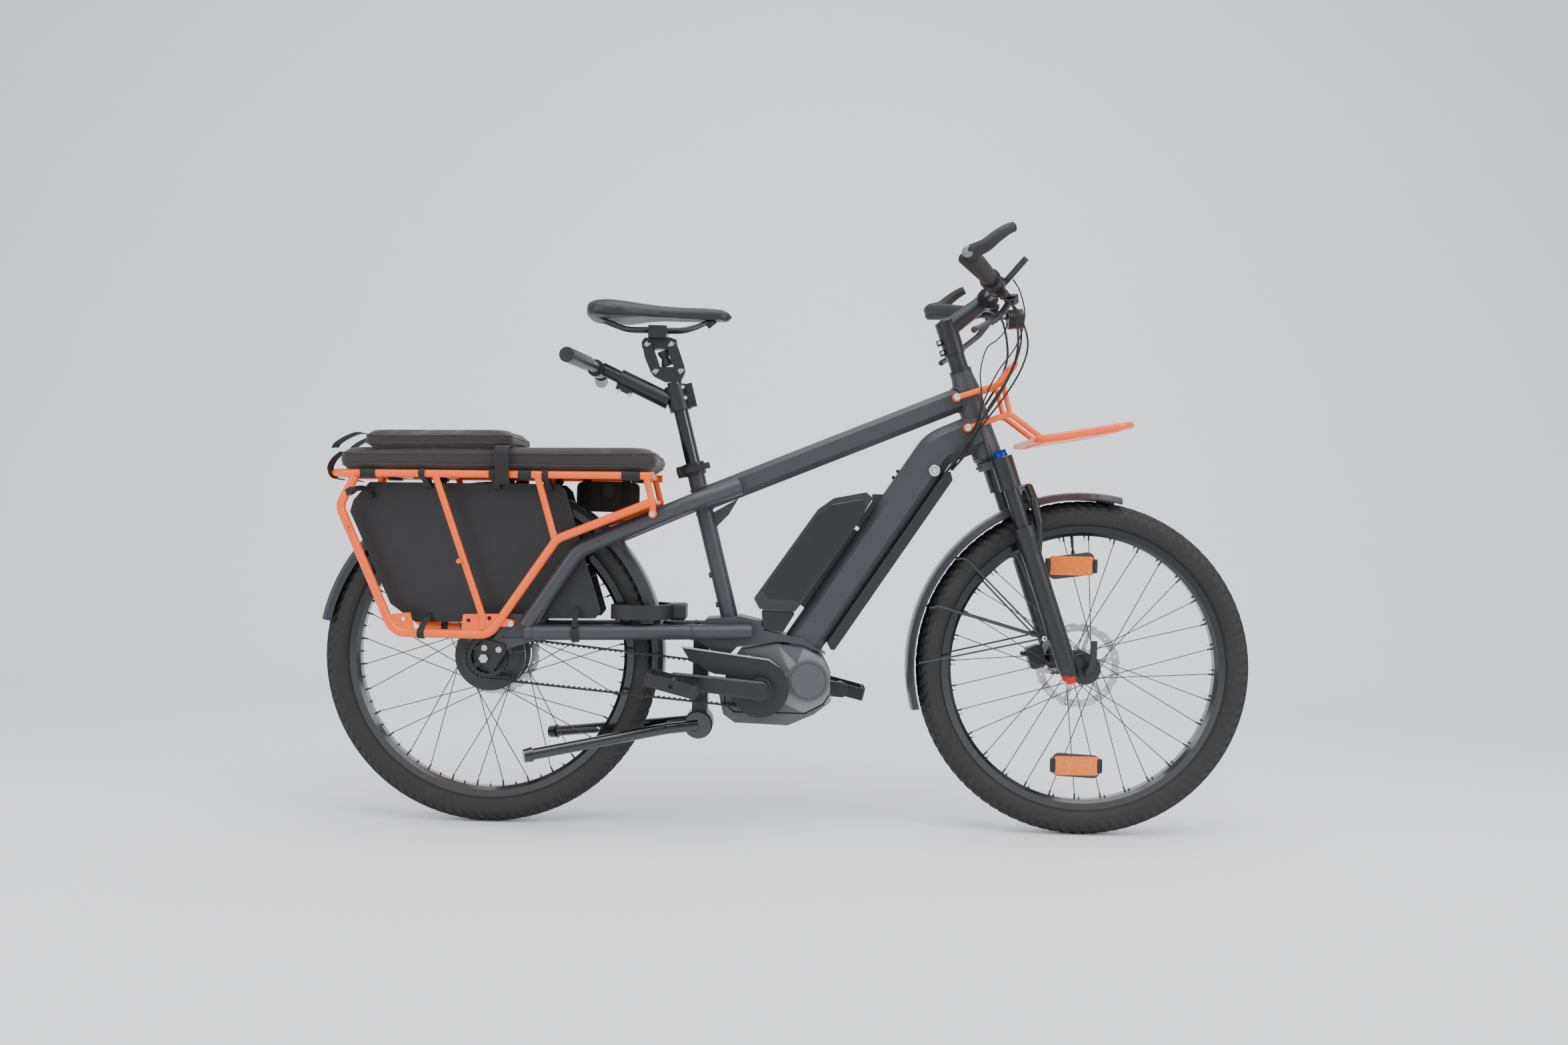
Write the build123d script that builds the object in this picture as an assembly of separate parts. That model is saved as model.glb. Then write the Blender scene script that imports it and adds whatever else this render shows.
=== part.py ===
# Cargo bicycle with a mid motor, belt drive, long rear rack and small front carrier.
# Millimetres. +X points forward, -Y is the drive side (the rider's right), +Z is up.
# The origin is on the floor, midway along the overall length, in the bike's middle plane.
from build123d import *
import math
import os

# ------------------------------------------------------------------ driving dimensions
WHEELBASE = 1240.0
TYRE_RADIUS = 350.0
TYRE_WIDTH = 57.0
TYRE_WALL = 4.0
RIM_OUTER_RADIUS = 298.0
RIM_INNER_RADIUS = 277.0
RIM_WIDTH = 32.0
RIM_WALL = 2.5
SPOKES = 32
SPOKE_DIAMETER = 2.0
ROTOR_RADIUS = 90.0
ROTOR_THICKNESS = 2.0

HEAD_ANGLE = 71.2
FORK_OFFSET = 56.0
FORK_TRAVEL = 70.0
LEG_SPACING = 130.0
LEG_AHEAD = 16.0
STANCHION_DIAMETER = 32.0
STEERER_DIAMETER = 28.6
HEAD_TUBE_BOTTOM = 463.0
HEAD_TUBE_TOP = 649.0

SEAT_ANGLE = 75.4
SEAT_TUBE_DIAMETER = 36.5
SEATPOST_DIAMETER = 31.6
SEAT_TUBE_TOP = 92.0
SEATPOST_TOP = 276.0
SEATPOST_LENGTH = 348.0

DOWN_TUBE_ANGLE = 56.5
DOWN_TUBE_DEPTH = 78.0
DOWN_TUBE_WIDTH = 70.0
DOWN_TUBE_AXIS = 180.0
TOP_TUBE_ANGLE = 22.7
TOP_TUBE_DEPTH = 50.0
TOP_TUBE_WIDTH = 46.0
TUBE_WALL = 2.5
SEAT_STAY_DIAMETER = 35.0
CHAINSTAY_DIAMETER = 31.6

CRANK_LENGTH = 175.0
CRANK_TILT = 5.6
CRANK_X = -45.0
CRANK_Z = 297.0
CRANK_INNER = 84.0
CRANK_OUTER = 97.0
SPINDLE_DIAMETER = 22.0
PEDAL_LENGTH = 106.0
PEDAL_WIDTH = 94.0
PEDAL_HEIGHT = 26.0
PEDAL_AXLE_DIAMETER = 9.0

BELT_PITCH = 11.0
FRONT_TEETH = 24
REAR_TEETH = 26
BELT_WIDTH = 11.0
BELT_THICKNESS = 3.0
BELT_Y = -52.5
MOTOR_HALF_WIDTH = 42.0

RACK_HALF_WIDTH = 95.0
RACK_RAIL_DIAMETER = 16.0
RACK_HOOP_DIAMETER = 18.0
BAG_HOLE_SPACING = 134.0
BAG_HOLE_RADIUS = 4.5
PAD_HALF_WIDTH = 112.0
GUARD_RADIUS = 363.0
FRONT_GUARD_RADIUS = 366.0
GUARD_WIDTH = 72.0
GUARD_WALL = 2.0

BAR_DIAMETER = 22.2
BAR_CLAMP_DIAMETER = 31.8
GRIP_DIAMETER = 32.0

RUNNING = 0.05      # radial clearance of a shaft that turns or slides in its bore
APART = 0.3         # gap between neighbours that don't touch

# ------------------------------------------------------------------ places worked out from them
REAR_REACH = GUARD_RADIUS + 8
REAR_X = -(WHEELBASE + TYRE_RADIUS - REAR_REACH) / 2
FRONT_X = REAR_X + WHEELBASE
AXLE_Z = TYRE_RADIUS
FRONT_PULLEY_RADIUS = FRONT_TEETH * BELT_PITCH / (2 * math.pi)
REAR_PULLEY_RADIUS = REAR_TEETH * BELT_PITCH / (2 * math.pi)
LEG_Y = LEG_SPACING / 2


def unit(angle):
    """Direction in the XZ plane at an angle above +X, in degrees."""
    return math.cos(math.radians(angle)), math.sin(math.radians(angle))


HEAD_COS, HEAD_SIN = unit(HEAD_ANGLE)
SEAT_COS, SEAT_SIN = unit(SEAT_ANGLE)
STEER_FOOT_X = FRONT_X - FORK_OFFSET / HEAD_SIN
# the local z axis runs up the steering axis, the local x axis points forward
STEER = Plane(
    origin=(STEER_FOOT_X, 0, AXLE_Z),
    x_dir=(HEAD_SIN, 0, HEAD_COS),
    z_dir=(-HEAD_COS, 0, HEAD_SIN),
)
AXLE_IN_STEER = (FORK_OFFSET, -FORK_OFFSET / math.tan(math.radians(HEAD_ANGLE)))
SEAT = Plane(
    origin=(-172, 0, 664),
    x_dir=(SEAT_SIN, 0, SEAT_COS),
    z_dir=(-SEAT_COS, 0, SEAT_SIN),
)
DOWN_COS, DOWN_SIN = unit(DOWN_TUBE_ANGLE)
# local x runs up the down tube, local y stands square to it, towards the saddle
DOWN = Plane(origin=(0, 0, 0), x_dir=(DOWN_COS, 0, DOWN_SIN), z_dir=(0, -1, 0))
# on the wheel planes local x and y lie along +X and +Z, and local z points to the drive side
FRONT_WHEEL = Plane(origin=(FRONT_X, 0, AXLE_Z), x_dir=(1, 0, 0), z_dir=(0, -1, 0))
REAR_WHEEL = Plane(origin=(REAR_X, 0, AXLE_Z), x_dir=(1, 0, 0), z_dir=(0, -1, 0))


# ------------------------------------------------------------------ shape helpers
def rod(start, end, diameter, end_diameter=None):
    """Round bar or cone between two points."""
    axis = Vector(*end) - Vector(*start)
    align = (Align.CENTER, Align.CENTER, Align.MIN)
    if end_diameter is None:
        shape = Cylinder(diameter / 2, axis.length, align=align)
    else:
        shape = Cone(diameter / 2, end_diameter / 2, axis.length, align=align)
    return Plane(origin=start, z_dir=axis) * shape


def bent_tube(points, diameter, radii):
    """Round tube along straight runs joined by tangent arcs."""
    path = FilletPolyline(*points, radius=radii)
    return sweep(Plane(origin=path @ 0, z_dir=path % 0) * Circle(diameter / 2), path=path)


def band(points, width_dir, width, thickness, radii):
    """Flat strap along straight runs joined by tangent arcs."""
    path = FilletPolyline(*points, radius=radii)
    section = Plane(origin=path @ 0, x_dir=width_dir, z_dir=path % 0) * Rectangle(width, thickness)
    return sweep(section, path=path)


def side_face(points, rounding=0):
    """Flat outline drawn in the XZ plane."""
    face = make_face(Polyline(*points, close=True))
    if rounding:
        face = fillet(face.vertices(), rounding)
    return face


def side_plate(points, low_y, high_y, rounding=0):
    """Plate whose outline lies in the XZ plane, from one y to another."""
    face = points if isinstance(points, Sketch) else side_face(points, rounding)
    return extrude(Plane.XZ.offset(-high_y) * face, high_y - low_y)


def cross_rod(x, z, low_y, high_y, diameter):
    """Round bar along Y."""
    return rod((x, low_y, z), (x, high_y, z), diameter)


def block(low, high):
    """Box between two corners."""
    size = [b - a for a, b in zip(low, high)]
    middle = [(a + b) / 2 for a, b in zip(low, high)]
    return Pos(*middle) * Box(*size)


def turned(profile):
    """Solid of revolution about the local Z axis from (radius, height) points."""
    return revolve(Plane.XZ * make_face(Polyline(*profile, close=True)), Axis.Z)


def ring(inner, outer, low, high):
    """Flat ring about the local Z axis."""
    return turned([(inner, low), (outer, low), (outer, high), (inner, high)])


def joined(*shapes):
    """One body from shapes that overlap."""
    whole = shapes[0]
    for shape in shapes[1:]:
        whole = whole + shape
    return whole


def mirrored(shape):
    """The same shape on the other side of the bike."""
    return mirror(shape, about=Plane.XZ)


def both_sides(*shapes):
    """Shapes together with their mirror images."""
    return list(shapes) + [mirrored(shape) for shape in shapes]


def facet_section(width, depth, corner):
    """Rectangle with its corners cut off."""
    w, d = width / 2, depth / 2
    points = [
        (w - corner, -d), (w, -d + corner), (w, d - corner), (w - corner, d),
        (corner - w, d), (-w, d - corner), (-w, -d + corner), (corner - w, -d),
    ]
    return make_face(Polyline(*points, close=True))


def save(node, *shapes):
    """Write one node's solids to its STEP file."""
    solids = []
    for shape in shapes:
        solids += shape.solids()
    export_step(Compound(solids), f"parts/{node}.step")


# ------------------------------------------------------------------ frame
TOP_COS, TOP_SIN = unit(TOP_TUBE_ANGLE)
TOP_TUBE_RISE = 699.7       # distance of the top tube's middle line from the origin


def top_tube_point(x):
    """Point on the top tube's middle line."""
    return x, 0, (TOP_TUBE_RISE + TOP_SIN * x) / TOP_COS


def down_point(along, up):
    """World place of a point given along and square to the down tube."""
    return along * DOWN_COS - up * DOWN_SIN, 0, along * DOWN_SIN + up * DOWN_COS


def steer_point(along, ahead=0, y=0):
    """World place of a point given along and ahead of the steering axis."""
    x = STEER_FOOT_X - along * HEAD_COS + ahead * HEAD_SIN
    return x, y, AXLE_Z + along * HEAD_SIN + ahead * HEAD_COS


def seat_point(along, ahead=0, y=0):
    """World place of a point given along and ahead of the seat tube's axis."""
    x = SEAT.origin.X - along * SEAT_COS + ahead * SEAT_SIN
    return x, y, SEAT.origin.Z + along * SEAT_SIN + ahead * SEAT_COS


def faceted_tube(points, radii, width, depth, corner):
    """Tube of chamfered rectangular section in the bike's middle plane."""
    path = FilletPolyline(*points, radius=radii) if radii else Line(*points)
    plane = Plane(origin=path @ 0, x_dir=(0, 1, 0), z_dir=path % 0)
    return sweep(plane * facet_section(width, depth, corner), path=path)


def down_tube(shrink):
    """Deep down tube with its bend into the foot of the head tube."""
    low = down_point(322 + shrink, DOWN_TUBE_AXIS)
    bend = down_point(845, DOWN_TUBE_AXIS)
    top = steer_point(520 + shrink)
    return faceted_tube([low, bend, top], 60, DOWN_TUBE_WIDTH - 2 * shrink,
                        DOWN_TUBE_DEPTH - 2 * shrink, 17)


def top_tube(shrink):
    """Straight top tube from the seat tube to the head tube."""
    ends = [top_tube_point(-178 + shrink), top_tube_point(374 - shrink)]
    return faceted_tube(ends, None, TOP_TUBE_WIDTH - 2 * shrink, TOP_TUBE_DEPTH - 2 * shrink, 11)


BOTTLE_BOSSES = (-137, -201)    # along the seat tube
BOTTLE_BOSS_REACH = 22.5
BOTTLE_THREAD_RADIUS = 2.1
BRACKET_OUTLINE = [
    (-187, 398), (-160, 438), (-128, 440), (-90, 444), (-46, 434), (-42, 416), (2, 407),
    (40, 402), (90, 368), (40, 388), (-12, 394), (-95, 380), (-122, 352), (-160, 380),
]


def main_frame():
    """Head tube, top tube, down tube, seat tube and the motor bracket, welded into one."""
    head = turned([
        (0, HEAD_TUBE_BOTTOM), (31, HEAD_TUBE_BOTTOM), (31, HEAD_TUBE_BOTTOM + 16),
        (28.5, HEAD_TUBE_BOTTOM + 60), (28.5, HEAD_TUBE_TOP - 38), (23.5, HEAD_TUBE_TOP - 8),
        (23.5, HEAD_TUBE_TOP), (0, HEAD_TUBE_TOP),
    ])
    seat = rod((0, 0, -245), (0, 0, SEAT_TUBE_TOP), SEAT_TUBE_DIAMETER)
    bosses = [rod((-10, 0, s), (-BOTTLE_BOSS_REACH, 0, s), 12) for s in BOTTLE_BOSSES]
    bracket = side_plate(BRACKET_OUTLINE, -40, 40)
    stay_seat = side_plate([(-187, 398), (-180, 420), (-62, 427), (-62, 398)], -60, 60)
    gusset = side_plate([(-185, 640), (-100, 690), (-120, 655), (-172, 600)], -4, 4)
    body = joined(STEER * head, top_tube(0), down_tube(0), SEAT * joined(seat, *bosses),
                  bracket, stay_seat, gusset)
    body -= STEER * rod((0, 0, HEAD_TUBE_BOTTOM - 1), (0, 0, HEAD_TUBE_TOP + 1), 36)
    body -= down_tube(TUBE_WALL) - STEER * rod((0, 0, 400), (0, 0, 700), 57)
    body -= top_tube(TUBE_WALL) - STEER * rod((0, 0, 400), (0, 0, 700), 57) \
        - SEAT * rod((0, 0, -300), (0, 0, 200), SEAT_TUBE_DIAMETER)
    body -= SEAT * rod((0, 0, -236), (0, 0, SEAT_TUBE_TOP + 1),
                       SEATPOST_DIAMETER + 2 * RUNNING)
    for s in BOTTLE_BOSSES:
        body -= SEAT * rod((-30, 0, s), (-14, 0, s), 2 * BOTTLE_THREAD_RADIUS)
    return body


# near-side stay lines; the far side is their mirror image
SEAT_STAY = [(-98, -40, 714), (-190, -66, 680), (-425, -68, 576), (-530, -70, 418)]
CHAINSTAY = [(-66, -52, 413), (-170, -60, 411), (-530, -75, 403)]
DROPOUT_IN = 71.0
DROPOUT_OUT = 79.0
DROPOUT_OUTLINE = [
    (-561, 441), (-592, 391), (-619, 379), (-616, 361), (-578, 358), (-549, 374),
    (-516, 385), (-511, 424), (-530, 441),
]
AXLE_DIAMETER = 12.0


def rear_triangle():
    """Seat stays, chainstays, their bridges and the forged dropouts."""
    stay = bent_tube(SEAT_STAY, SEAT_STAY_DIAMETER, [120, 70])
    chain = bent_tube(CHAINSTAY, CHAINSTAY_DIAMETER, [200])
    dropout = side_plate(DROPOUT_OUTLINE, -DROPOUT_OUT, -DROPOUT_IN, 4)
    pocket = side_plate([(-552, 424), (-580, 391), (-528, 392), (-524, 402)], -80, -76, 3)
    side = joined(stay, chain, dropout) - pocket
    bridge = cross_rod(-222, 406, -70, 70, 16)
    upper = cross_rod(-232, 661, -70, 70, 16)
    whole = joined(side, bridge, upper, mirrored(side))
    whole -= top_tube(-APART)
    whole -= SEAT * rod((0, 0, -300), (0, 0, 200), SEAT_TUBE_DIAMETER + 2 * APART)
    return whole - side_plate([(-190, 380), (-190, 421), (-62, 427.5), (-58, 380)], -60, 60)


INSERT_OUTLINE = [
    (-626, 350), (-623, 376), (-607, 388), (-569, 379), (-566, 362), (-589, 326), (-607, 331),
]
INSERT_BOLTS = [(-609.5, 371), (-580, 368)]


def dropout_plates():
    """Black axle inserts with their bolts, and the fixed rear axle with its nuts."""
    shapes = []
    insert = side_plate(INSERT_OUTLINE, -DROPOUT_OUT - 6.3, -DROPOUT_OUT - APART, 5)
    insert -= cross_rod(REAR_X, AXLE_Z, -100, -60, AXLE_DIAMETER + 0.2)
    for x, z in INSERT_BOLTS:
        insert += cross_rod(x, z, -DROPOUT_OUT - 9.5, -DROPOUT_OUT - 6, 12)
        insert -= cross_rod(x, z, -90, -86.5, 5)
    screw = rod((-555, -76, 363), (-530, -76, 365), 4)
    lug = cross_rod(-557, 364, -84, -72.5, 9)
    shapes += both_sides(insert, joined(lug, screw))
    axle = cross_rod(REAR_X, AXLE_Z, -92, 92, AXLE_DIAMETER)
    nuts = []
    for low, high in ((-94.5, -85.7), (85.7, 94.5)):
        nut = extrude(Plane.XZ.offset(-high) * Pos(REAR_X, AXLE_Z)
                      * RegularPolygon(9.5, 6), high - low)
        nuts.append(nut)
    return shapes + [joined(axle, *nuts)]


# ------------------------------------------------------------------ motor, battery and covers
MOTOR_OUTLINE = [
    (-118, 262), (-118, 330), (-88, 374), (-12, 389), (45, 382), (85, 363), (100, 333),
    (101, 290), (86, 266), (48, 246), (-98, 246),
]
SKID_OUTLINE = [
    (-131, 284), (-121, 241), (-97, 224), (14, 220.5), (68, 245), (102, 272), (102, 284),
]
BADGE = (53.6, 314.0)


def motor_housing():
    """Cast motor shell that hangs in the frame's bracket."""
    shell = side_plate(MOTOR_OUTLINE, -MOTOR_HALF_WIDTH, MOTOR_HALF_WIDTH, 12)
    shell -= side_plate(BRACKET_OUTLINE, -41, 41)
    bore = cross_rod(CRANK_X, CRANK_Z, -50, 50, SPINDLE_DIAMETER + 2 * RUNNING + 1)
    sleeve = cross_rod(CRANK_X, CRANK_Z, -50, -30, 2 * (17 + APART))
    return shell - bore - sleeve - down_tube(-APART)


def motor_covers():
    """Side covers, the round badge cap and the skid plate under the motor."""
    outline = [(x * 0.985 - 0.2, (z - 300) * 0.97 + 300) for x, z in MOTOR_OUTLINE]
    low, high = -MOTOR_HALF_WIDTH - 3.6, -MOTOR_HALF_WIDTH - APART
    near = side_plate(outline, low, high, 12)
    hub_hole = cross_rod(CRANK_X, CRANK_Z, -60, 60, 2 * (17 + APART))
    near += cross_rod(*BADGE, low - 5, high, 84)
    near -= cross_rod(*BADGE, low - 6, low - 3, 73)
    cap = cross_rod(*BADGE, low - 7, low - 3 - APART, 72)
    far = mirrored(side_plate(outline, low, high, 12))
    skid = side_plate(SKID_OUTLINE, -47, 47)
    inner = [(-119, 263), (-119, 300), (102, 300), (102, 290), (87, 265), (49, 245), (-99, 245)]
    skid -= side_plate(inner, -50, 50)
    return [near - hub_hole, cap, far - hub_hole, skid]


def downtube_cover():
    """Long plastic cover under the down tube."""
    outline = [(374, 118), (370, 126), (378, 140.6), (812, 140.6), (818, 132), (806, 118)]
    return extrude(DOWN.offset(-30) * side_face(outline), 60)


BATTERY_OUTLINE = [
    (356, 296), (367, 318), (596, 314), (634, 300), (682, 252), (680, 234), (612, 229.5),
    (416, 231), (394, 232),
]
BATTERY_PIVOT = (-48.0, 459.0)


def battery_pack():
    """Removable battery with its handle end."""
    face = fillet(side_face(BATTERY_OUTLINE).vertices(), 3)
    return extrude(DOWN.offset(-42) * face, 84)


def battery_mount():
    """Guide rail on the down tube, its lower connector block and the upper lock."""
    rail = extrude(DOWN.offset(-11) * side_face([(410, 219.3), (410, 230.7), (606, 229.2),
                                                 (606, 219.3)]), 22)
    block_face = side_face([(-46, 455.5), (-42.5, 420), (0, 413), (24, 453)], 2)
    connector = side_plate(block_face, -38, 38)
    connector -= side_plate(BRACKET_OUTLINE, -41, 41)
    connector -= down_tube(-APART)
    lock = extrude(DOWN.offset(-16) * side_face([(614, 219.3), (614, 228.5), (676, 229.5),
                                                 (688, 238), (700, 219.3)]), 32)
    return [rail, connector, lock]


KICK_X, KICK_Z = -173.0, 216.0
KICK_BARREL = 60.0
KICK_AXLE = 14.0
LEG_DIAMETER = 23.0


def frame_hardware():
    """Headset, frame bolts, cable port plate and the bracket that carries the kickstand."""
    bore = STEERER_DIAMETER / 2 + RUNNING
    lower = ring(bore, 30.5, HEAD_TUBE_BOTTOM - 4.5, HEAD_TUBE_BOTTOM - APART)
    lower += ring(bore, 17.9, HEAD_TUBE_BOTTOM - 4.5, HEAD_TUBE_BOTTOM + 12)
    upper = ring(bore, 23.5, HEAD_TUBE_TOP + APART, HEAD_TUBE_TOP + 7)
    upper += ring(bore, 17.9, HEAD_TUBE_TOP - 12, HEAD_TUBE_TOP + 7)
    plate = cross_rod(307, 756, -38.5, -35.3, 21)
    plate -= cross_rod(307, 756, -40, -37, 6)
    clips = []
    for along in (742, 758):
        x, y, z = down_point(along, 221.4)
        clips.append(Pos(x, 0, z) * Sphere(4) - down_tube(-APART))
    stem = block((KICK_X - 14, -28, KICK_Z), (KICK_X + 18, 28, 397.5))
    stem -= block((KICK_X - 2, -16, KICK_Z + 40), (KICK_X + 6, 16, 398))
    stem -= side_plate([(x, z - 0.4) for x, z in BRACKET_OUTLINE], -41, 41)
    barrel = cross_rod(KICK_X, KICK_Z, -30, 30, KICK_BARREL)
    stem = joined(stem, barrel) - cross_rod(KICK_X, KICK_Z, -31, 31, KICK_AXLE + 2 * RUNNING)
    return [STEER * lower, STEER * upper, *both_sides(plate), *clips, stem]


def kickstand_legs():
    """Two-legged stand: hub discs on one axle, splayed legs and rubber feet."""
    axle = cross_rod(KICK_X, KICK_Z, -44, 44, KICK_AXLE)
    whole = axle
    feet = []
    for side in (-1, 1):
        hub = cross_rod(KICK_X, KICK_Z, *sorted((side * (30 + APART), side * 44)), 54)
        knee = (KICK_X - 66, side * 46, KICK_Z - 8)
        foot = (KICK_X - 322, side * 148, KICK_Z - 49)
        leg = bent_tube([(KICK_X, side * 42, KICK_Z), knee, foot], LEG_DIAMETER, [60])
        whole = joined(whole, hub, leg)
        back = Vector(*foot) - Vector(*knee)
        start = Vector(*foot) + back.normalized() * APART
        end = start + back.normalized() * 18
        feet.append(rod(tuple(start), tuple(end), 30, 26))
    return [whole, *feet]


# ------------------------------------------------------------------ wheels
def tyre(plane):
    """Round tyre body, open towards the rim."""
    centre = TYRE_RADIUS - TYRE_WIDTH / 2
    body = Torus(centre, TYRE_WIDTH / 2) - Torus(centre, TYRE_WIDTH / 2 - TYRE_WALL)
    body -= Cylinder(RIM_OUTER_RADIUS + APART, TYRE_WIDTH)
    return plane * body


def rim(plane):
    """Hollow rim with a well between its two flanges."""
    half = RIM_WIDTH / 2
    bed = RIM_OUTER_RADIUS - 7
    outer = [
        (RIM_INNER_RADIUS, -9), (RIM_INNER_RADIUS, 9), (bed - 7, half), (RIM_OUTER_RADIUS, half),
        (RIM_OUTER_RADIUS, half - 3), (bed, half - 3), (bed, 3 - half),
        (RIM_OUTER_RADIUS, 3 - half), (RIM_OUTER_RADIUS, -half), (bed - 7, -half),
    ]
    inner = [
        (RIM_INNER_RADIUS + RIM_WALL, -7.5), (RIM_INNER_RADIUS + RIM_WALL, 7.5),
        (bed - 6, half - RIM_WALL - 0.8), (bed - RIM_WALL, half - RIM_WALL - 1.2),
        (bed - RIM_WALL, RIM_WALL + 1.2 - half), (bed - 6, RIM_WALL + 0.8 - half),
    ]
    return plane * (turned(outer) - turned(inner))


def spokes(plane, flange_radius, flange_height, crossing, phase):
    """Laced spokes with their nipples."""
    shapes = []
    for i in range(SPOKES):
        angle = phase + i * 360 / SPOKES
        side = 1 if i % 2 else -1
        pull = crossing if (i // 2) % 2 else -crossing
        shift = 2.5 if pull > 0 else -2.5
        hub_angle = math.radians(angle + pull)
        rim_angle = math.radians(angle)
        height = side * flange_height + shift
        start = (flange_radius * math.cos(hub_angle), flange_radius * math.sin(hub_angle), height)
        tip = RIM_INNER_RADIUS - 10
        end = (tip * math.cos(rim_angle), tip * math.sin(rim_angle), side * 1.5)
        bore = RIM_INNER_RADIUS + 1.5
        seat = (bore * math.cos(rim_angle), bore * math.sin(rim_angle), side * 1.2)
        shapes.append(plane * joined(rod(start, end, SPOKE_DIAMETER), rod(end, seat, 4)))
    return shapes


def reflector(plane, radius, angle):
    """Side reflector clipped on the spokes."""
    body = Pos(radius, 0, 13.5) * Box(48, 100, 7)
    return plane * (Rot(0, 0, angle) * fillet(body.edges().filter_by(Axis.Z), 14))


def rotor(plane, low, high, bore):
    """Wavy brake disc on a six-arm spider."""
    outline = Cylinder(ROTOR_RADIUS, high - low)
    disc = outline - Cylinder(ROTOR_RADIUS - 17, 10)
    for i in range(12):
        disc -= Rot(0, 0, i * 30) * Pos(ROTOR_RADIUS + 3.5, 0, 0) * Cylinder(7, 10)
        disc -= Rot(0, 0, i * 30 + 15) * Pos(ROTOR_RADIUS - 8.5, 0, 0) * Cylinder(2.5, 10)
    arms = ring(bore, bore + 12, (low - high) / 2, (high - low) / 2)
    for i in range(6):
        length = ROTOR_RADIUS - 18 - bore
        arms += Rot(0, 0, i * 60 + 12) * Pos(bore + 6 + length / 2, 0, 0) \
            * Box(length, 9, high - low)
    return plane * Pos(0, 0, (low + high) / 2) * (disc + arms)


def front_hub():
    """Slim front hub with two spoke flanges and the disc seat on the far side."""
    bore = 6 + RUNNING
    profile = [
        (bore, -54.5), (14, -54.5), (14, -40), (22, -39.2), (22, -36.6), (16, -34), (29 + 4, -31.5),
        (33, -24.5), (15, -20), (15, 20), (33, 24.5), (33, 31.5), (16, 34), (14, 54.5),
        (bore, 54.5),
    ]
    return FRONT_WHEEL * turned(profile)


def rear_hub():
    """Large gear hub with two spoke flanges and the disc seat on the far side."""
    bore = AXLE_DIAMETER / 2 + RUNNING
    profile = [
        (bore, -70), (24, -70), (24, -44), (30, -43.3), (30, -40.7), (60, -34), (73, -32),
        (73, -22), (66, -18), (66, 18), (73, 22), (73, 32), (60, 34), (33, 44),
        (33, 46.2), (bore, 46.2),
    ]
    return REAR_WHEEL * turned(profile)


def pulley(radius, teeth, bore, width):
    """Toothed belt pulley about the local Z axis, with a rim, arms and a hub."""
    disc = Cylinder(radius, width) - Cylinder(radius - 10, width + 1)
    for i in range(teeth):
        disc -= Rot(0, 0, (i + 0.5) * 360 / teeth) * Pos(radius + 0.4, 0, 0) \
            * Cylinder(2.3, width + 1)
    for i in range(5):
        disc += Rot(0, 0, i * 72) * Pos(radius / 2, 0, 0) * Box(radius - 8, 11, width - 3)
    disc += Cylinder(bore + 6, width)
    return disc - Cylinder(bore, width + 40)


def front_sprocket():
    """Front pulley on its sleeve round the crank spindle."""
    bore = SPINDLE_DIAMETER / 2 + RUNNING
    radius = FRONT_PULLEY_RADIUS - BELT_THICKNESS / 2 - APART
    wheel = pulley(radius, FRONT_TEETH, bore, BELT_WIDTH - 1)
    sleeve = Pos(0, 0, -11) * (Cylinder(17, 14) - Cylinder(bore, 20))
    place = Plane(origin=(CRANK_X, BELT_Y, CRANK_Z), x_dir=(1, 0, 0), z_dir=(0, -1, 0))
    return place * (wheel + sleeve)


def rear_sprocket():
    """Rear pulley beside the hub."""
    radius = REAR_PULLEY_RADIUS - BELT_THICKNESS / 2 - APART
    wheel = pulley(radius, REAR_TEETH, AXLE_DIAMETER / 2 + RUNNING, BELT_WIDTH - 1)
    place = Plane(origin=(REAR_X, BELT_Y, AXLE_Z), x_dir=(1, 0, 0), z_dir=(0, -1, 0))
    return place * wheel


def belt_outline(offset):
    """Hull round both pulleys at a distance from the pitch line."""
    front = Pos(CRANK_X, CRANK_Z) * Circle(FRONT_PULLEY_RADIUS + offset)
    back = Pos(REAR_X, AXLE_Z) * Circle(REAR_PULLEY_RADIUS + offset)
    return make_hull(front.edges() + back.edges())


def drive_belt():
    """Toothed belt; its teeth show on the two straight runs."""
    half = BELT_THICKNESS / 2
    low, high = BELT_Y - BELT_WIDTH / 2, BELT_Y + BELT_WIDTH / 2
    belt = side_plate(Sketch() + belt_outline(half), low, high)
    belt -= side_plate(Sketch() + belt_outline(-half), low - 1, high + 1)
    dx, dz = CRANK_X - REAR_X, CRANK_Z - AXLE_Z
    span = math.hypot(dx, dz)
    tilt = math.degrees(math.atan2(dz, dx))
    lean = math.degrees(math.asin((REAR_PULLEY_RADIUS - FRONT_PULLEY_RADIUS) / span))
    count = int((span - 60) / BELT_PITCH)
    teeth = []
    for side in (-1, 1):
        cos_n, sin_n = unit(tilt + side * (90 - lean))
        start = (REAR_X + REAR_PULLEY_RADIUS * cos_n, AXLE_Z + REAR_PULLEY_RADIUS * sin_n)
        along = (sin_n, -cos_n) if side > 0 else (-sin_n, cos_n)
        turn = math.degrees(math.atan2(along[1], along[0]))
        for i in range(count):
            travel = 30 + i * BELT_PITCH
            x = start[0] + along[0] * travel - cos_n * 2.4
            z = start[1] + along[1] * travel - sin_n * 2.4
            teeth.append(Pos(x, BELT_Y, z) * Rot(0, -turn, 0) * Box(5, BELT_WIDTH, 2.4))
    return belt + teeth


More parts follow.
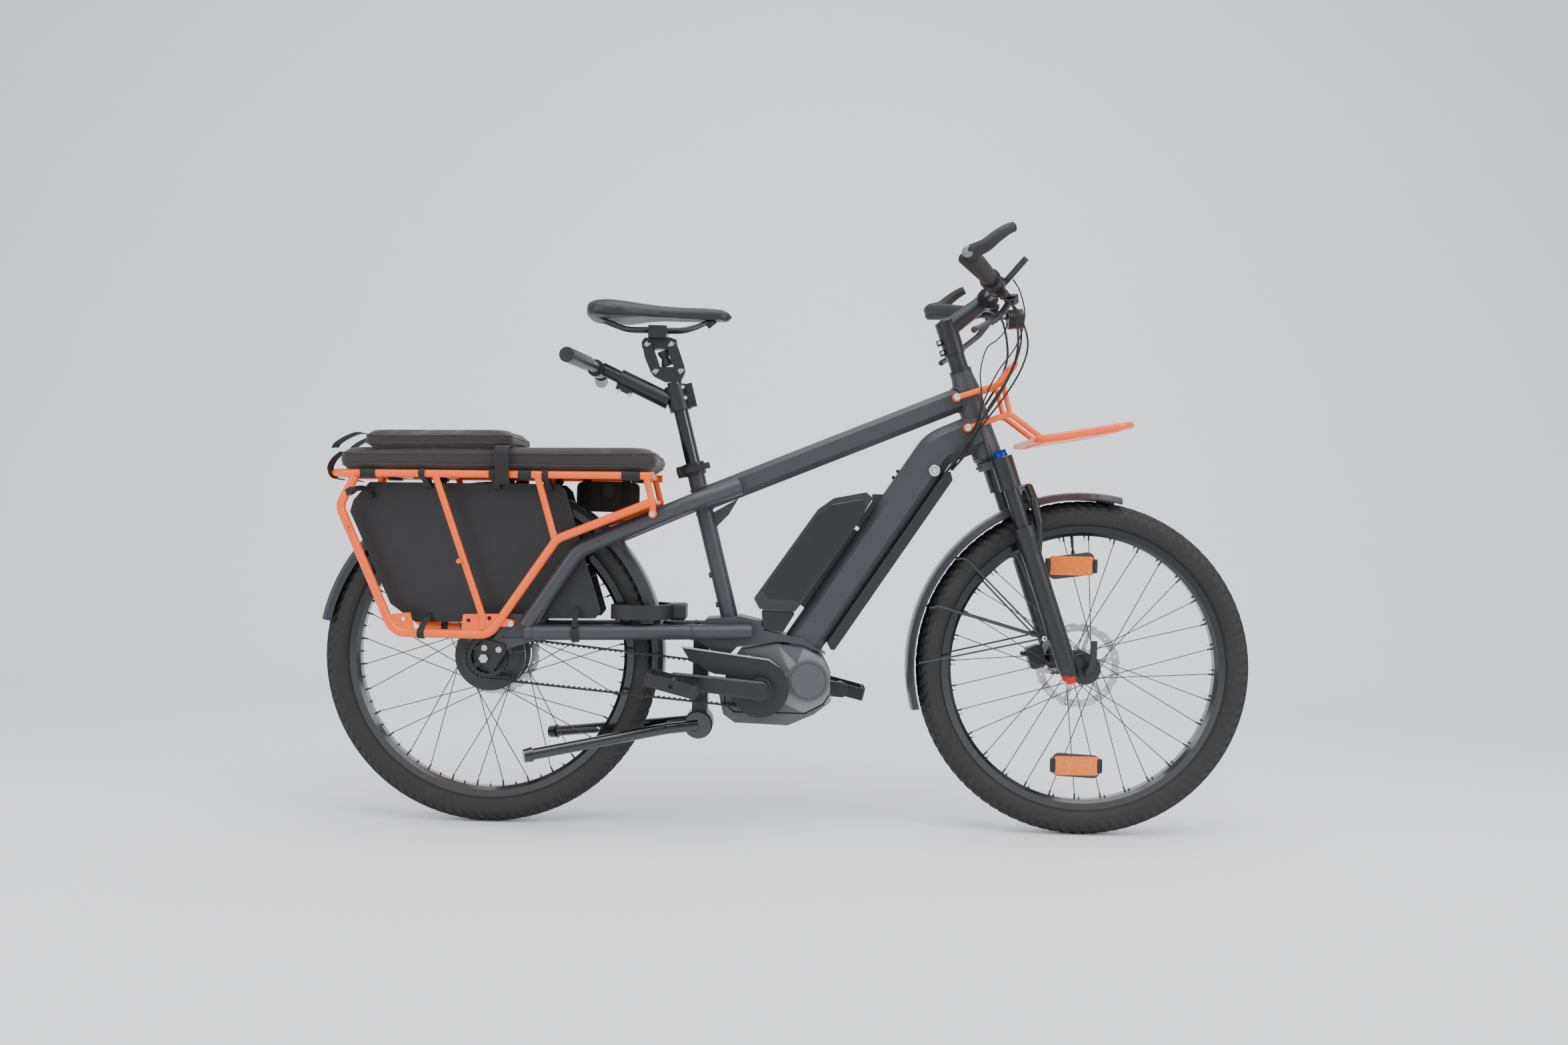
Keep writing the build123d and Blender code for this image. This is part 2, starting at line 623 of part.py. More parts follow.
def belt_guard():
    """Flat guard over the upper belt run and round the front pulley."""
    arm = side_plate([
        (-209.8, 381.9), (-28.3, 359.4), (-2, 340), (-20, 318), (-80, 321), (-139.8, 326),
        (-157.4, 332.8), (-168, 343), (-189, 349.6), (-201.9, 368.5),
    ], -63.5, -61)
    disc = cross_rod(CRANK_X, CRANK_Z, -63.5, -61, 118)
    lip = side_plate([(-209.8, 381.9), (-28.3, 359.4), (-28.6, 356.4), (-210.4, 378.4)], -66, -61)
    guard = joined(arm, disc, lip) - cross_rod(CRANK_X, CRANK_Z, -70, -55, 2 * 14)
    for x, z in ((-70, 362), (0, 328)):
        guard += cross_rod(x, z, -63, -MOTOR_HALF_WIDTH - 3.6 - APART, 8)
    return guard


def crank_arm(side):
    """One crank arm, its axle bolt and its pedal axle."""
    turn = 180 - CRANK_TILT if side < 0 else -CRANK_TILT
    outline = make_hull([
        *Circle(19).edges(), *(Pos(CRANK_LENGTH, 0) * Circle(16)).edges(),
    ])
    arm = extrude(outline, CRANK_OUTER - CRANK_INNER)
    arm = chamfer(arm.faces().sort_by(Axis.Z)[-1].edges(), 3.5)
    cap = Pos(0, 0, CRANK_OUTER - CRANK_INNER) * Cylinder(14, 3) \
        - Pos(0, 0, CRANK_OUTER - CRANK_INNER + 2) * extrude(RegularPolygon(5, 6), 4)
    axle = rod((CRANK_LENGTH, 0, 4), (CRANK_LENGTH, 0, 103), PEDAL_AXLE_DIAMETER)
    axle += rod((CRANK_LENGTH, 0, 4), (CRANK_LENGTH, 0, 15), 15)
    part = Rot(0, 0, turn) * joined(arm, cap, axle)
    if side > 0:
        part = mirror(part, about=Plane.XY)
    place = Plane(origin=(CRANK_X, side * CRANK_INNER, CRANK_Z), x_dir=(1, 0, 0),
                  z_dir=(0, -1, 0))
    return place * part


def cranks():
    """Crank spindle with both arms, one rigid piece."""
    spindle = cross_rod(CRANK_X, CRANK_Z, -CRANK_INNER - 2, CRANK_INNER + 2, SPINDLE_DIAMETER)
    collar = cross_rod(CRANK_X, CRANK_Z, -CRANK_INNER - 0.5, -CRANK_INNER + 12, 52)
    far = cross_rod(CRANK_X, CRANK_Z, CRANK_INNER - 12, CRANK_INNER + 0.5, 40)
    return joined(spindle, collar, far, crank_arm(-1), crank_arm(1))


PEDAL_INNER = CRANK_OUTER + 3
PEDAL_TILT = -14.0


def pedal_place(side):
    """Middle of a pedal axle."""
    cos_t, sin_t = unit(180 - CRANK_TILT if side < 0 else -CRANK_TILT)
    return CRANK_X + CRANK_LENGTH * cos_t, CRANK_Z + CRANK_LENGTH * sin_t


def pedal(side):
    """Cage pedal with a bearing barrel and anti-slip studs."""
    x, z = pedal_place(side)
    length, width, height = PEDAL_LENGTH, PEDAL_WIDTH, PEDAL_HEIGHT
    body = Box(length, width, height)
    body = fillet(body.edges().filter_by(Axis.Z), 16)
    body -= Box(length - 16, width - 16, height + 1)
    body += Rot(90, 0, 0) * Cylinder(10, width - 4)
    for x_rib in (-26, 26):
        body += Pos(x_rib, 0, 0) * Box(8, width - 8, 12)
    body += Box(length - 8, 8, 14)
    for sx in (-1, 1):
        for sy in (-1, 0, 1):
            body += Pos(sx * (length / 2 - 4), sy * 26, 0) * Cylinder(2, height + 5)
    body -= Rot(90, 0, 0) * Cylinder(PEDAL_AXLE_DIAMETER / 2 + RUNNING, width + 2)
    y = side * (PEDAL_INNER + width / 2)
    return Pos(x, y, z) * Rot(0, -PEDAL_TILT, 0) * body


# ------------------------------------------------------------------ mudguards
def guard(centre_x, centre_z, outer, skirt, start, end):
    """Arched mudguard of hollow U section between two angles."""
    half = GUARD_WIDTH / 2
    profile = [
        (outer - skirt, half), (outer - 12, half), (outer - 3, half - 9), (outer, half - 20),
        (outer, 20 - half), (outer - 3, 9 - half), (outer - 12, -half), (outer - skirt, -half),
        (outer - skirt, GUARD_WALL - half), (outer - 12.6, GUARD_WALL - half),
        (outer - 4.4, 10.4 - half), (outer - GUARD_WALL, 20.6 - half),
        (outer - GUARD_WALL, half - 20.6), (outer - 4.4, half - 10.4),
        (outer - 12.6, half - GUARD_WALL), (outer - skirt, half - GUARD_WALL),
    ]
    face = Plane.XZ * make_face(Polyline(*profile, close=True))
    arch = revolve(face, Axis.Z, end - start)
    middle = math.radians((start + end) / 2)
    probe = Rot(0, 0, start) * arch
    if probe.center().Y * math.sin(middle) + probe.center().X * math.cos(middle) < 0:
        probe = Rot(0, 0, end) * arch
    return Plane(origin=(centre_x, 0, centre_z), x_dir=(1, 0, 0), z_dir=(0, -1, 0)) * probe


def rear_mudguard():
    """Rear mudguard with its two mounting posts."""
    arch = guard(REAR_X, AXLE_Z, GUARD_RADIUS, 25, -5, 169)
    cos_b, sin_b = unit(8.2)
    lug = rod((REAR_X + 361.5 * cos_b, 0, AXLE_Z + 361.5 * sin_b),
              (REAR_X + 383.1 * cos_b, 0, AXLE_Z + 383.1 * sin_b), 12)
    post = rod((-507, 0, 696), (-507, 0, 720.6), 10)
    return joined(arch, lug, post)


STAY_BOLT = (537.0, 414.0)


def front_mudguard():
    """Front mudguard with its wire stays and the clip under the fork arch."""
    cx, cz = FRONT_X - 6, AXLE_Z + 2
    arch = guard(cx, cz, FRONT_GUARD_RADIUS, 16, 77.6, 195.5)
    stays = []
    for end, diameter in (((280.7, 355.0), 4), ((352.5, 572.0), 4), ((300.5, 470.0), 5)):
        stays.append(bent_tube([(STAY_BOLT[0], 57, STAY_BOLT[1]),
                                (end[0] + 22, 42, end[1] + 4), (end[0] + 3, 36.5, end[1])],
                               diameter, [20]))
    x, z = STAY_BOLT
    pad = cross_rod(x, z, 54, 60, 14)
    clip = side_plate([(492, 698), (518, 690), (521, 709.4), (495, 717)], -9, 9)
    side = joined(pad, *stays)
    return joined(arch, clip, side, mirrored(side))


# ------------------------------------------------------------------ fork
CROWN_TOP = HEAD_TUBE_BOTTOM - 4.5 - APART
CROWN_LOW = 386.0
CAP_TOP = 454.0
COLLAR_TOP = 304.0
LEG_FOOT = -24.0


def fork_crown():
    """Crown, steerer and the two stanchions."""
    steerer = rod((0, 0, CROWN_TOP - 12), (0, 0, 738), STEERER_DIAMETER)
    beam = make_hull([
        *Circle(27).edges(), *(Pos(LEG_AHEAD, LEG_Y) * Circle(23)).edges(),
        *(Pos(LEG_AHEAD, -LEG_Y) * Circle(23)).edges(),
    ])
    crown = Pos(0, 0, CROWN_TOP - 21) * extrude(beam, 16)
    crown += ring(0, 27, CROWN_TOP - 6, CROWN_TOP)
    shape = joined(steerer, crown)
    for side in (-1, 1):
        x, y = LEG_AHEAD, side * LEG_Y
        shape += rod((x, y, CROWN_LOW), (x, y, CAP_TOP), 46)
        shape += rod((x, y, 110), (x, y, CROWN_LOW + 5), STANCHION_DIAMETER)
    return STEER * shape


def lockout_knob():
    """Turning knob on top of the near crown leg."""
    top = CAP_TOP + APART
    knob = rod((LEG_AHEAD, -LEG_Y, top), (LEG_AHEAD, -LEG_Y, top + 9), 30, 27)
    knob += Pos(LEG_AHEAD, -LEG_Y, top + 11.5) * Box(26, 7, 6)
    return STEER * knob


def fork_lowers():
    """Both lower legs, the arch between them, the dropouts and the hub axle."""
    ahead, drop = AXLE_IN_STEER
    shape = None
    for side in (-1, 1):
        y = side * LEG_Y
        leg = rod((LEG_AHEAD, y, LEG_FOOT), (LEG_AHEAD, y, LEG_FOOT + 30), 34, 41)
        leg += rod((LEG_AHEAD, y, LEG_FOOT + 30), (LEG_AHEAD, y, COLLAR_TOP - 40), 41)
        leg += rod((LEG_AHEAD, y, COLLAR_TOP - 60), (LEG_AHEAD, y, COLLAR_TOP - 22), 41, 47)
        leg += rod((LEG_AHEAD, y, COLLAR_TOP - 22), (LEG_AHEAD, y, COLLAR_TOP), 47)
        tab = make_hull([*(Pos(ahead, drop) * Circle(14)).edges(),
                         *(Pos(LEG_AHEAD, drop + 44) * Circle(13)).edges(),
                         *(Pos(LEG_AHEAD, drop + 4) * Circle(13)).edges()])
        low = 55 if side > 0 else -65
        leg += Plane(origin=(0, low + 10, 0), x_dir=(1, 0, 0), z_dir=(0, -1, 0)) * extrude(tab, 10)
        leg += rod((LEG_AHEAD + 10, side * 66, COLLAR_TOP - 64), (50, side * 62, 300), 19)
        leg += rod((50, side * 62, 300), (55, side * 58, 351), 19)
        leg += Pos(50, side * 62, 300) * Sphere(9.5)
        leg += rod((55, side * 58, 350), (57, side * 36, 376), 19)
        leg += Pos(55, side * 58, 351) * Sphere(9.5)
        x, z = STAY_BOLT
        sx = (x - STEER_FOOT_X) * HEAD_SIN + (z - AXLE_Z) * HEAD_COS
        sz = (z - AXLE_Z) * HEAD_SIN - (x - STEER_FOOT_X) * HEAD_COS
        leg += rod((sx, side * 60.3, sz), (sx, side * 70, sz), 13)
        leg += rod((sx, side * 66, sz), (LEG_AHEAD, side * 66, sz + 4), 12)
        leg -= rod((LEG_AHEAD, y, 30), (LEG_AHEAD, y, COLLAR_TOP + 40),
                   STANCHION_DIAMETER + 2 * RUNNING)
        shape = leg if shape is None else shape + leg
    shape += rod((57, -38, 376), (57, 38, 376), 19)
    for side in (-1, 1):
        shape += Pos(57, side * 37, 376) * Sphere(9.5)
    shape -= Pos(ahead, 0, drop) * Rot(90, 0, 0) * Cylinder(6 + RUNNING, 200)
    axle = Pos(ahead, 0, drop) * Rot(90, 0, 0) * Cylinder(6, 142)
    nut = Pos(ahead, 68.6, drop) * Rot(90, 0, 0) * Cylinder(11, 6)
    knob = rod((LEG_AHEAD, -LEG_Y, LEG_FOOT - 9), (LEG_AHEAD, -LEG_Y, LEG_FOOT - APART), 20, 23)
    return [STEER * shape, STEER * (axle + nut), STEER * knob]


def axle_lever():
    """Quick-release lever that wraps the end of the front axle."""
    cup = cross_rod(FRONT_X, AXLE_Z, -82, -71 - APART, 22)
    arm = band([(FRONT_X, -79, AXLE_Z), (FRONT_X + 3, -92, AXLE_Z + 32),
                (FRONT_X + 2, -96, AXLE_Z + 64)], (1, 0, 0), 13, 6, [26])
    return joined(cup, arm)


def front_brake_caliper():
    """Two-piston caliper behind the far fork leg."""
    body = block((-42, 26, 2), (-6, 54, 50))
    body = fillet(body.edges().filter_by(Axis.Y), 8)
    body -= block((-34, 35.3, -10), (20, 40.7, 80))
    lug = block((-10, 46, 8), (-4.9, 60, 44))
    port = rod((-38, 45, 34), (-52, 45, 42), 9)
    return STEER * joined(body, lug, port)


def rear_brake_caliper():
    """Caliper between the far chainstay and seat stay."""
    body = side_plate([(-572, 412), (-560, 425), (-528, 424), (-514, 400), (-531, 381),
                       (-552, 392)], 34, 52, 5)
    body -= side_plate([(-590, 440), (-500, 440), (-524, 371), (-590, 371)], 39.4, 44.6)
    body += side_plate([(-534, 424), (-518, 408), (-521, 397), (-538, 411)], 34, 52)
    lug = side_plate([(-574, 412), (-560, 416), (-556, 400), (-566, 396)], 50, 70.7)
    return joined(body, lug)


# ------------------------------------------------------------------ cockpit
BAR_CENTRE = (412.5, 1120.0)
BAR_BEND = Vector(411, -156, 1116)
BAR_END = Vector(329.5, -330, 1149)
BAR_OUT = (BAR_END - BAR_BEND).normalized()
ELBOW = 752.0


def bar_plane(travel):
    """Plane square to the near bar run; its local z points outward."""
    return Plane(origin=BAR_BEND + BAR_OUT * travel, x_dir=(0.9, 0, 0.42), z_dir=BAR_OUT)


def stem():
    """Riser tube and the raised stem with its bar clamp."""
    riser = ring(STEERER_DIAMETER / 2 + RUNNING, 19, HEAD_TUBE_TOP + 7 + APART, 694)
    column = ring(STEERER_DIAMETER / 2 + RUNNING, 22, 690, 742)
    column += ring(0, 22, 742, 762)
    column = joined(riser, column)
    for s in (700, 722):
        column += rod((-26, -13, s), (-26, 13, s), 7)
        column += block((-30, -8, s - 6), (-16, 8, s + 6))
    shape = STEER * column
    shape += rod(steer_point(745), (BAR_CENTRE[0], 0, BAR_CENTRE[1]), 40, 34)
    shape += Pos(*steer_point(748)) * Sphere(22)
    shape -= STEER * rod((0, 0, 600), (0, 0, 742), STEERER_DIAMETER + 2 * RUNNING)
    shape += cross_rod(*BAR_CENTRE, -24, 24, 44)
    for z in (-17, 17):
        shape += Pos(BAR_CENTRE[0] + 14, 0, BAR_CENTRE[1] + z) * Box(20, 44, 10)
    return shape - cross_rod(*BAR_CENTRE, -30, 30, BAR_CLAMP_DIAMETER + 2 * RUNNING)


def handlebar():
    """Swept handlebar, thicker in the clamp."""
    x, z = BAR_CENTRE
    end, bend = tuple(BAR_END), tuple(BAR_BEND)
    far_end = (end[0], -end[1], end[2])
    far_bend = (bend[0], -bend[1], bend[2])
    path = [end, bend, (x, -55, z), (x, 55, z), far_bend, far_end]
    bar = bent_tube(path, BAR_DIAMETER, [40, 60, 60, 40])
    bar += cross_rod(x, z, -36, 36, BAR_CLAMP_DIAMETER)
    return bar


def grip():
    """Near grip with its palm wing and the bar end."""
    bore = BAR_DIAMETER + 2 * RUNNING
    length = 126.0
    body = Cylinder(GRIP_DIAMETER / 2, length, align=(Align.CENTER, Align.CENTER, Align.MIN))
    wing = Pos(-20, 2, length * 0.62) * Rot(0, 0, 12) * Box(34, 17, length * 0.66)
    wing = fillet(wing.edges(), 6)
    body = joined(body, wing) - Pos(0, 0, length / 2) * Cylinder(bore / 2, length + 2)
    clamp = Cylinder(19, 20, align=(Align.CENTER, Align.CENTER, Align.MIN))
    horn = bent_tube([(6, 0, 12), (46, 14, 12), (82, 34, 12)], 23, [50])
    tip = Pos(82, 34, 12) * Sphere(11.5)
    end = joined(clamp, horn, tip) - Pos(0, 0, -1) * Cylinder(
        bore / 2, 13, align=(Align.CENTER, Align.CENTER, Align.MIN))
    return [bar_plane(58) * body, bar_plane(58 + length + APART) * end]


def twist_shifter():
    """Turning sleeve of the gear control."""
    low = Cylinder(17, 30, align=(Align.CENTER, Align.CENTER, Align.MIN))
    flange = Pos(0, 0, 30) * Cylinder(21, 4, align=(Align.CENTER, Align.CENTER, Align.MIN))
    for i in range(12):
        flange += Rot(0, 0, i * 30) * Pos(17, 0, 15) * Box(2.4, 3, 26)
    sleeve = low + flange - Pos(0, 0, 15) * Cylinder(BAR_DIAMETER / 2 + RUNNING, 60)
    return bar_plane(23) * sleeve


DISPLAY = (467.5, 1178.0)
LIGHT = (469.5, 1079.0)
LIGHT_PIVOT = (449.0, 1086.0)
BRAKE_PIVOT = Vector(440, -128, 1094)
BRAKE_TIP = Vector(352, -262, 1013)
BRAKE_AIM = BAR_BEND + BAR_OUT * 110
BRAKE_AXIS = (BRAKE_TIP - BRAKE_PIVOT).cross(BRAKE_AIM - BRAKE_PIVOT).normalized()
# local x runs along the blade, local y points to the grip, local z is the lever's pin
BRAKE = Plane(origin=BRAKE_PIVOT, x_dir=BRAKE_TIP - BRAKE_PIVOT, z_dir=BRAKE_AXIS)


def control_mounts():
    """Brake master cylinders, gear control housing, display and the light bracket."""
    shapes = []
    x, z = BAR_CENTRE
    clamp = joined(rod((x - 1, -142, z - 2), (x, -126, z - 1), 34),
                   rod((x + 12, -136, z - 8), (x + 34, -96, z - 18), 19))
    clamp += BRAKE * block((-24, -8, -9.8), (-9, 10, 9.8))
    for side in (-1, 1):
        low, high = sorted((side * (6 + APART), side * 9.8))
        clamp += BRAKE * block((-10, -6, low), (3, 6, high))
    clamp -= rod((x - 2, -170, z - 3.8), (x + 1, -100, z - 0.4), BAR_DIAMETER + 3.4)
    clamp -= BRAKE * Cylinder(7.4, 12.6)
    shapes += both_sides(clamp)
    housing = Cylinder(18, 15, align=(Align.CENTER, Align.CENTER, Align.MIN))
    housing += Pos(4, -20, 7.5) * Box(16, 20, 14)
    housing -= Pos(0, 0, 7) * Cylinder(BAR_DIAMETER / 2 + RUNNING, 40)
    shapes.append(bar_plane(7.7) * housing)
    hoop = cross_rod(x, z, 26, 35, 40) - cross_rod(x, z, 20, 40, BAR_CLAMP_DIAMETER + 0.1)
    arm = side_plate([(x + 12, z + 12), (x + 4, z + 19), (x + 30, z + 58), (x + 46, z + 48)],
                     26, 34)
    screen = Pos(DISPLAY[0], 0, DISPLAY[1]) * Rot(0, -50, 0) * Box(64, 88, 13)
    screen = fillet(screen.edges().filter_by(lambda e: e.length < 14), 5)
    shapes.append(joined(hoop, arm, screen))
    lamp_arm = side_plate([(x + 6, z - 22.5), (x + 30, z - 22.5), (LIGHT_PIVOT[0] + 5, z - 31),
                           (LIGHT_PIVOT[0] + 5, LIGHT_PIVOT[1] - 5),
                           (LIGHT_PIVOT[0] - 8, LIGHT_PIVOT[1] - 3)], -5, 5)
    lamp_arm -= cross_rod(*LIGHT_PIVOT, -8, 8, 5.1)
    shapes.append(lamp_arm)
    return shapes


def headlight():
    """Finned lamp that tilts on its bracket."""
    x, z = LIGHT
    body = rod((x - 12, 0, z), (x + 20, 0, z + 3), 42)
    for i in range(3):
        start = x - 9 + i * 5
        body -= rod((start, 0, z), (start + 2, 0, z), 50) - rod((start, 0, z), (start + 2, 0, z), 37)
    glass = rod((x + 16, 0, z + 2.7), (x + 20.5, 0, z + 3.1), 36)
    fork = []
    for side in (-1, 1):
        low, high = sorted((side * (5 + APART), side * 9))
        fork.append(side_plate([(x - 26, z + 2), (x - 26, z + 12), (x - 8, z + 10), (x - 8, z)],
                               low, high))
    pin = cross_rod(*LIGHT_PIVOT, -9, 9, 5)
    return joined(body, glass, *fork, pin)


def brake_lever():
    """Near brake lever blade with its hooked tip."""
    length = (BRAKE_TIP - BRAKE_PIVOT).length
    boss = Cylinder(6.8, 12) + Pos(6, 0, 0) * Box(12, 9, 11)
    blade = band([(4, 0, 0), (46, -9, 0), (length * 0.7, -3, 0), (length, 5, 0)], (0, 0, 1),
                 13, 6, [60, 90])
    tip = Pos(length, 5, 0) * Sphere(6.6)
    return BRAKE * joined(boss, blade, tip)


def control_cables():
    """Brake hoses, the gear cables and the display lead, from the bar to the frame."""
    runs = [
        ([(447.4, -94.4, 1101.7), (464, -70, 1076), (469, -60, 1010), (448, -57, 950),
          (410, -56, 880), (374, -52, 800), (342, -43.5, 757)], 5, [16, 40, 60, 60, 60]),
        ([(447.4, 94.4, 1101.7), (464, 70, 1076), (469, 60, 1010), (448, 57, 950),
          (410, 56, 880), (374, 52, 800), (342, 43.5, 757)], 5, [16, 40, 60, 60, 60]),
        ([(421.4, -180.8, 1092.8), (448, -168, 1082), (472, -104, 1030), (462, -68, 985),
          (436, -64, 925), (398, -63, 860), (362, -59, 800), (326, -44, 748)], 4,
         [16, 30, 24, 40, 60, 40]),
    ]
    return [bent_tube(points, diameter, radii) for points, diameter, radii in runs]


# ------------------------------------------------------------------ front carrier
CARRIER_ARM_Y = 42.0
CARRIER_RAIL_Y = 157.0


def front_carrier():
    """Tubular carrier bolted to the frame ahead of the head tube, with its deck plate."""
    arm_y = CARRIER_ARM_Y
    bow = bent_tube([(348.9, -arm_y, 908.7), (441, -arm_y, 939.5), (472.4, -arm_y + 2, 983.6),
                     (472.4, arm_y - 2, 983.6), (441, arm_y, 939.5), (348.9, arm_y, 908.7)], 12,
                    [26, 16, 16, 26])
    rails = bent_tube([(502.9, -90, 819), (503.5, -CARRIER_RAIL_Y, 819),
                       (691.6, -CARRIER_RAIL_Y, 853), (691.6, CARRIER_RAIL_Y, 853),
                       (503.5, CARRIER_RAIL_Y, 819), (502.9, 90, 819)], 14, [40, 40, 40, 40])
    frame = joined(bow, rails)
    frame += cross_rod(502.9, 819, -96, 96, 13)
    for side in (-1, 1):
        y = side * arm_y
        frame += bent_tube([(373.5, y, 845.8), (459.4, y, 878.1), (527, y, 829)], 11.6, [18])
        frame += rod((444, y, 939.5), (459.4, y, 881), 11)
        frame += rod((521, y, 826), (690, y, 853), 11)
        frame += cross_rod(348.9, 908.7, *sorted((side * 34, side * 49)), 18)
        frame += cross_rod(373.5, 845.8, *sorted((side * 35.6, side * 49)), 18)
        frame += cross_rod(348.9, 908.7, *sorted((side * (23 + APART), side * 36)), 10)
    for x in (560, 625):
        z = 819 + (x - 502.9) * 0.181
        frame += cross_rod(x, z, -CARRIER_RAIL_Y, CARRIER_RAIL_Y, 10.6)
    plate = Plane(origin=(594, 0, 828.3), x_dir=(0.984, 0, 0.178), z_dir=(-0.178, 0, 0.984)) \
        * Box(150, 230, 3)
    for i in range(5):
        for j in range(9):
            plate -= Pos(594 + (i - 2) * 27, (j - 4) * 24, 828) * Rot(0, -10.3, 0) * Cylinder(7, 30)
    return joined(frame, plate)


# ------------------------------------------------------------------ rear rack and what it carries
RAIL_REAR = (-931.0, 722.0)
RAIL_FRONT = (-270.0, 730.0)


def rail_z(x):
    """Height of a rack rail's middle line."""
    slope = (RAIL_FRONT[1] - RAIL_REAR[1]) / (RAIL_FRONT[0] - RAIL_REAR[0])
    return RAIL_REAR[1] + slope * (x - RAIL_REAR[0])


BAG_HOLES = (-774.6, -774.6 + BAG_HOLE_SPACING)
BAG_HOLE_Z = 427.0
TAB_OUT = RACK_HALF_WIDTH + 2.5
HOOP = [
    (-871.7, 718.5), (-897, 682), (-905, 653.5), (-875.8, 582.7), (-800.8, 427.2),
    (-776, 399), (-610, 399), (-581.6, 422.7), (-471, 587), (-447.6, 604), (-277.8, 677),
]


def rack_side():
    """Hoop, struts and tabs on the near side."""
    y = -RACK_HALF_WIDTH
    points = [(-878, y, 717), (-909, y, 655), (-793, y, 399), (-598, y, 399), (-465, y, 597),
              (-270, y, 678)]
    hoop = bent_tube(points, RACK_HOOP_DIAMETER, [30, 40, 36, 34])
    side = hoop
    side += rod((-714.6, y, 719.7), (-612.9, y, 436), 14)
    side += rod((-507.5, y, 724.4), (-468.9, y, 594), 14)
    side += rod((-286, y, 727), (-273, y, 677), 14)
    side += rod((-273, y, 682), (-271, y, 655), 14)
    side += cross_rod(-271, 652, -104, -84.2, 16)
    side += rod((-612.9, y, 440), (-612, y, 410), 14)
    tabs = side_plate([(-806, 436), (-760, 441), (-750, 402), (-792, 402)], -TAB_OUT, 5 - TAB_OUT, 3)
    tabs += side_plate([(-652, 440), (-578, 442), (-570, 420), (-608, 402), (-655, 402)],
                       -TAB_OUT, 5 - TAB_OUT, 3)
    side += tabs
    side += side_plate([(-588, 430), (-560, 432), (-549, 428), (-551, 416), (-585, 416)],
                       -96, -DROPOUT_OUT - APART, 3)
    for x, z in ((-660, 548), (-889, 612)):
        side += cross_rod(x, z, -112, -92, 10)
    for x in BAG_HOLES:
        side -= cross_rod(x, BAG_HOLE_Z, -110, -80, 2 * BAG_HOLE_RADIUS)
    side -= cross_rod(-598.5, 432.8, -110, -80, 2 * BAG_HOLE_RADIUS)
    return side


def rear_rack():
    """Welded tubular rack: two top rails, side hoops and cross tubes."""
    y = RACK_HALF_WIDTH
    rail = bent_tube([(RAIL_FRONT[0], -y, RAIL_FRONT[1]), (RAIL_REAR[0], -y, RAIL_REAR[1]),
                      (RAIL_REAR[0], y, RAIL_REAR[1]), (RAIL_FRONT[0], y, RAIL_FRONT[1])],
                     RACK_RAIL_DIAMETER, [45, 45])
    near = rack_side()
    whole = joined(rail, near, mirrored(near))
    for x in (-815, -715, -507, -285):
        whole += cross_rod(x, rail_z(x), -y, y, 12)
    whole += cross_rod(-277, 677, -y, y, 12)
    return whole


PANEL_OUTLINE = [
    (-864.3, 706), (-471.7, 710), (-457, 697), (-379.5, 447), (-390, 433), (-515.6, 430),
    (-651.8, 420), (-764.4, 418), (-815.5, 454.5), (-903.6, 644), (-896.9, 668),
]


def spoke_guards():
    """Flat panels that keep coats and feet out of the rear wheel."""
    near = side_plate(PANEL_OUTLINE, -46, -43, 5)
    far = side_plate(PANEL_OUTLINE, 45.3, 48.3, 5)
    for x, z in ((-440, 553.6), (-500, 463)):
        near += cross_rod(x, z, -50.4, -45, 12)
        far += cross_rod(x, z, 47, 50.4, 12)
    return [near, far]


def pad_bottom(x):
    """Height of the long pad's underside."""
    return rail_z(x) + RACK_RAIL_DIAMETER / 2 + APART


def pad_top(x):
    """Height of the long pad's upper side."""
    return 772 + (x + 918) * 0.0196


def pad_body(outline, half_width, rounding):
    """Upholstered pad from its side outline."""
    body = side_plate(outline, -half_width, half_width)
    edges = body.edges().filter_by(lambda e: e.length > 2 * half_width - 1 or e.length > 100)
    return fillet(edges, rounding)


def seat_pad_long():
    """Long passenger pad over both rails."""
    low, high = -918.0, -256.0
    outline = [(low, pad_bottom(low)), (high, pad_bottom(high)), (high, pad_top(high)),
               (low, pad_top(low))]
    return pad_body(outline, PAD_HALF_WIDTH, 11)


def seat_pad_upper():
    """Shorter pad on top of the long one."""
    low, high = -868.0, -551.0
    outline = [(low, pad_top(low) + APART), (high, pad_top(high) + APART),
               (high, pad_top(high) + 35), (low, pad_top(low) + 37)]
    return pad_body(outline, PAD_HALF_WIDTH - 2, 11)


def webbing_straps():
    """Hook-and-loop straps round the rails and pads, and the hanging pouch."""
    shapes = []
    for low, high in ((-867, -836), (-546, -519), (-336, -298)):
        z = rail_z((low + high) / 2)
        wrap = rod((low, -RACK_HALF_WIDTH, z), (high, -RACK_HALF_WIDTH, z), 19.6)
        wrap -= rod((low - 1, -RACK_HALF_WIDTH, z), (high + 1, -RACK_HALF_WIDTH, z), 17.2)
        wrap -= block((low - 1, -RACK_HALF_WIDTH - 12, z + 6.6), (high + 1, -80, z + 12))
        shapes += both_sides(wrap)
    pouch = fillet(block((-456, 66, 654), (-314, 85.7, 725)).edges(), 6)
    return shapes + [pouch]


# ------------------------------------------------------------------ lock
LOCK_X, LOCK_Z = -300.0, 449.0
SHACKLE_RING = 70.5
SHACKLE_DIAMETER = 8.5


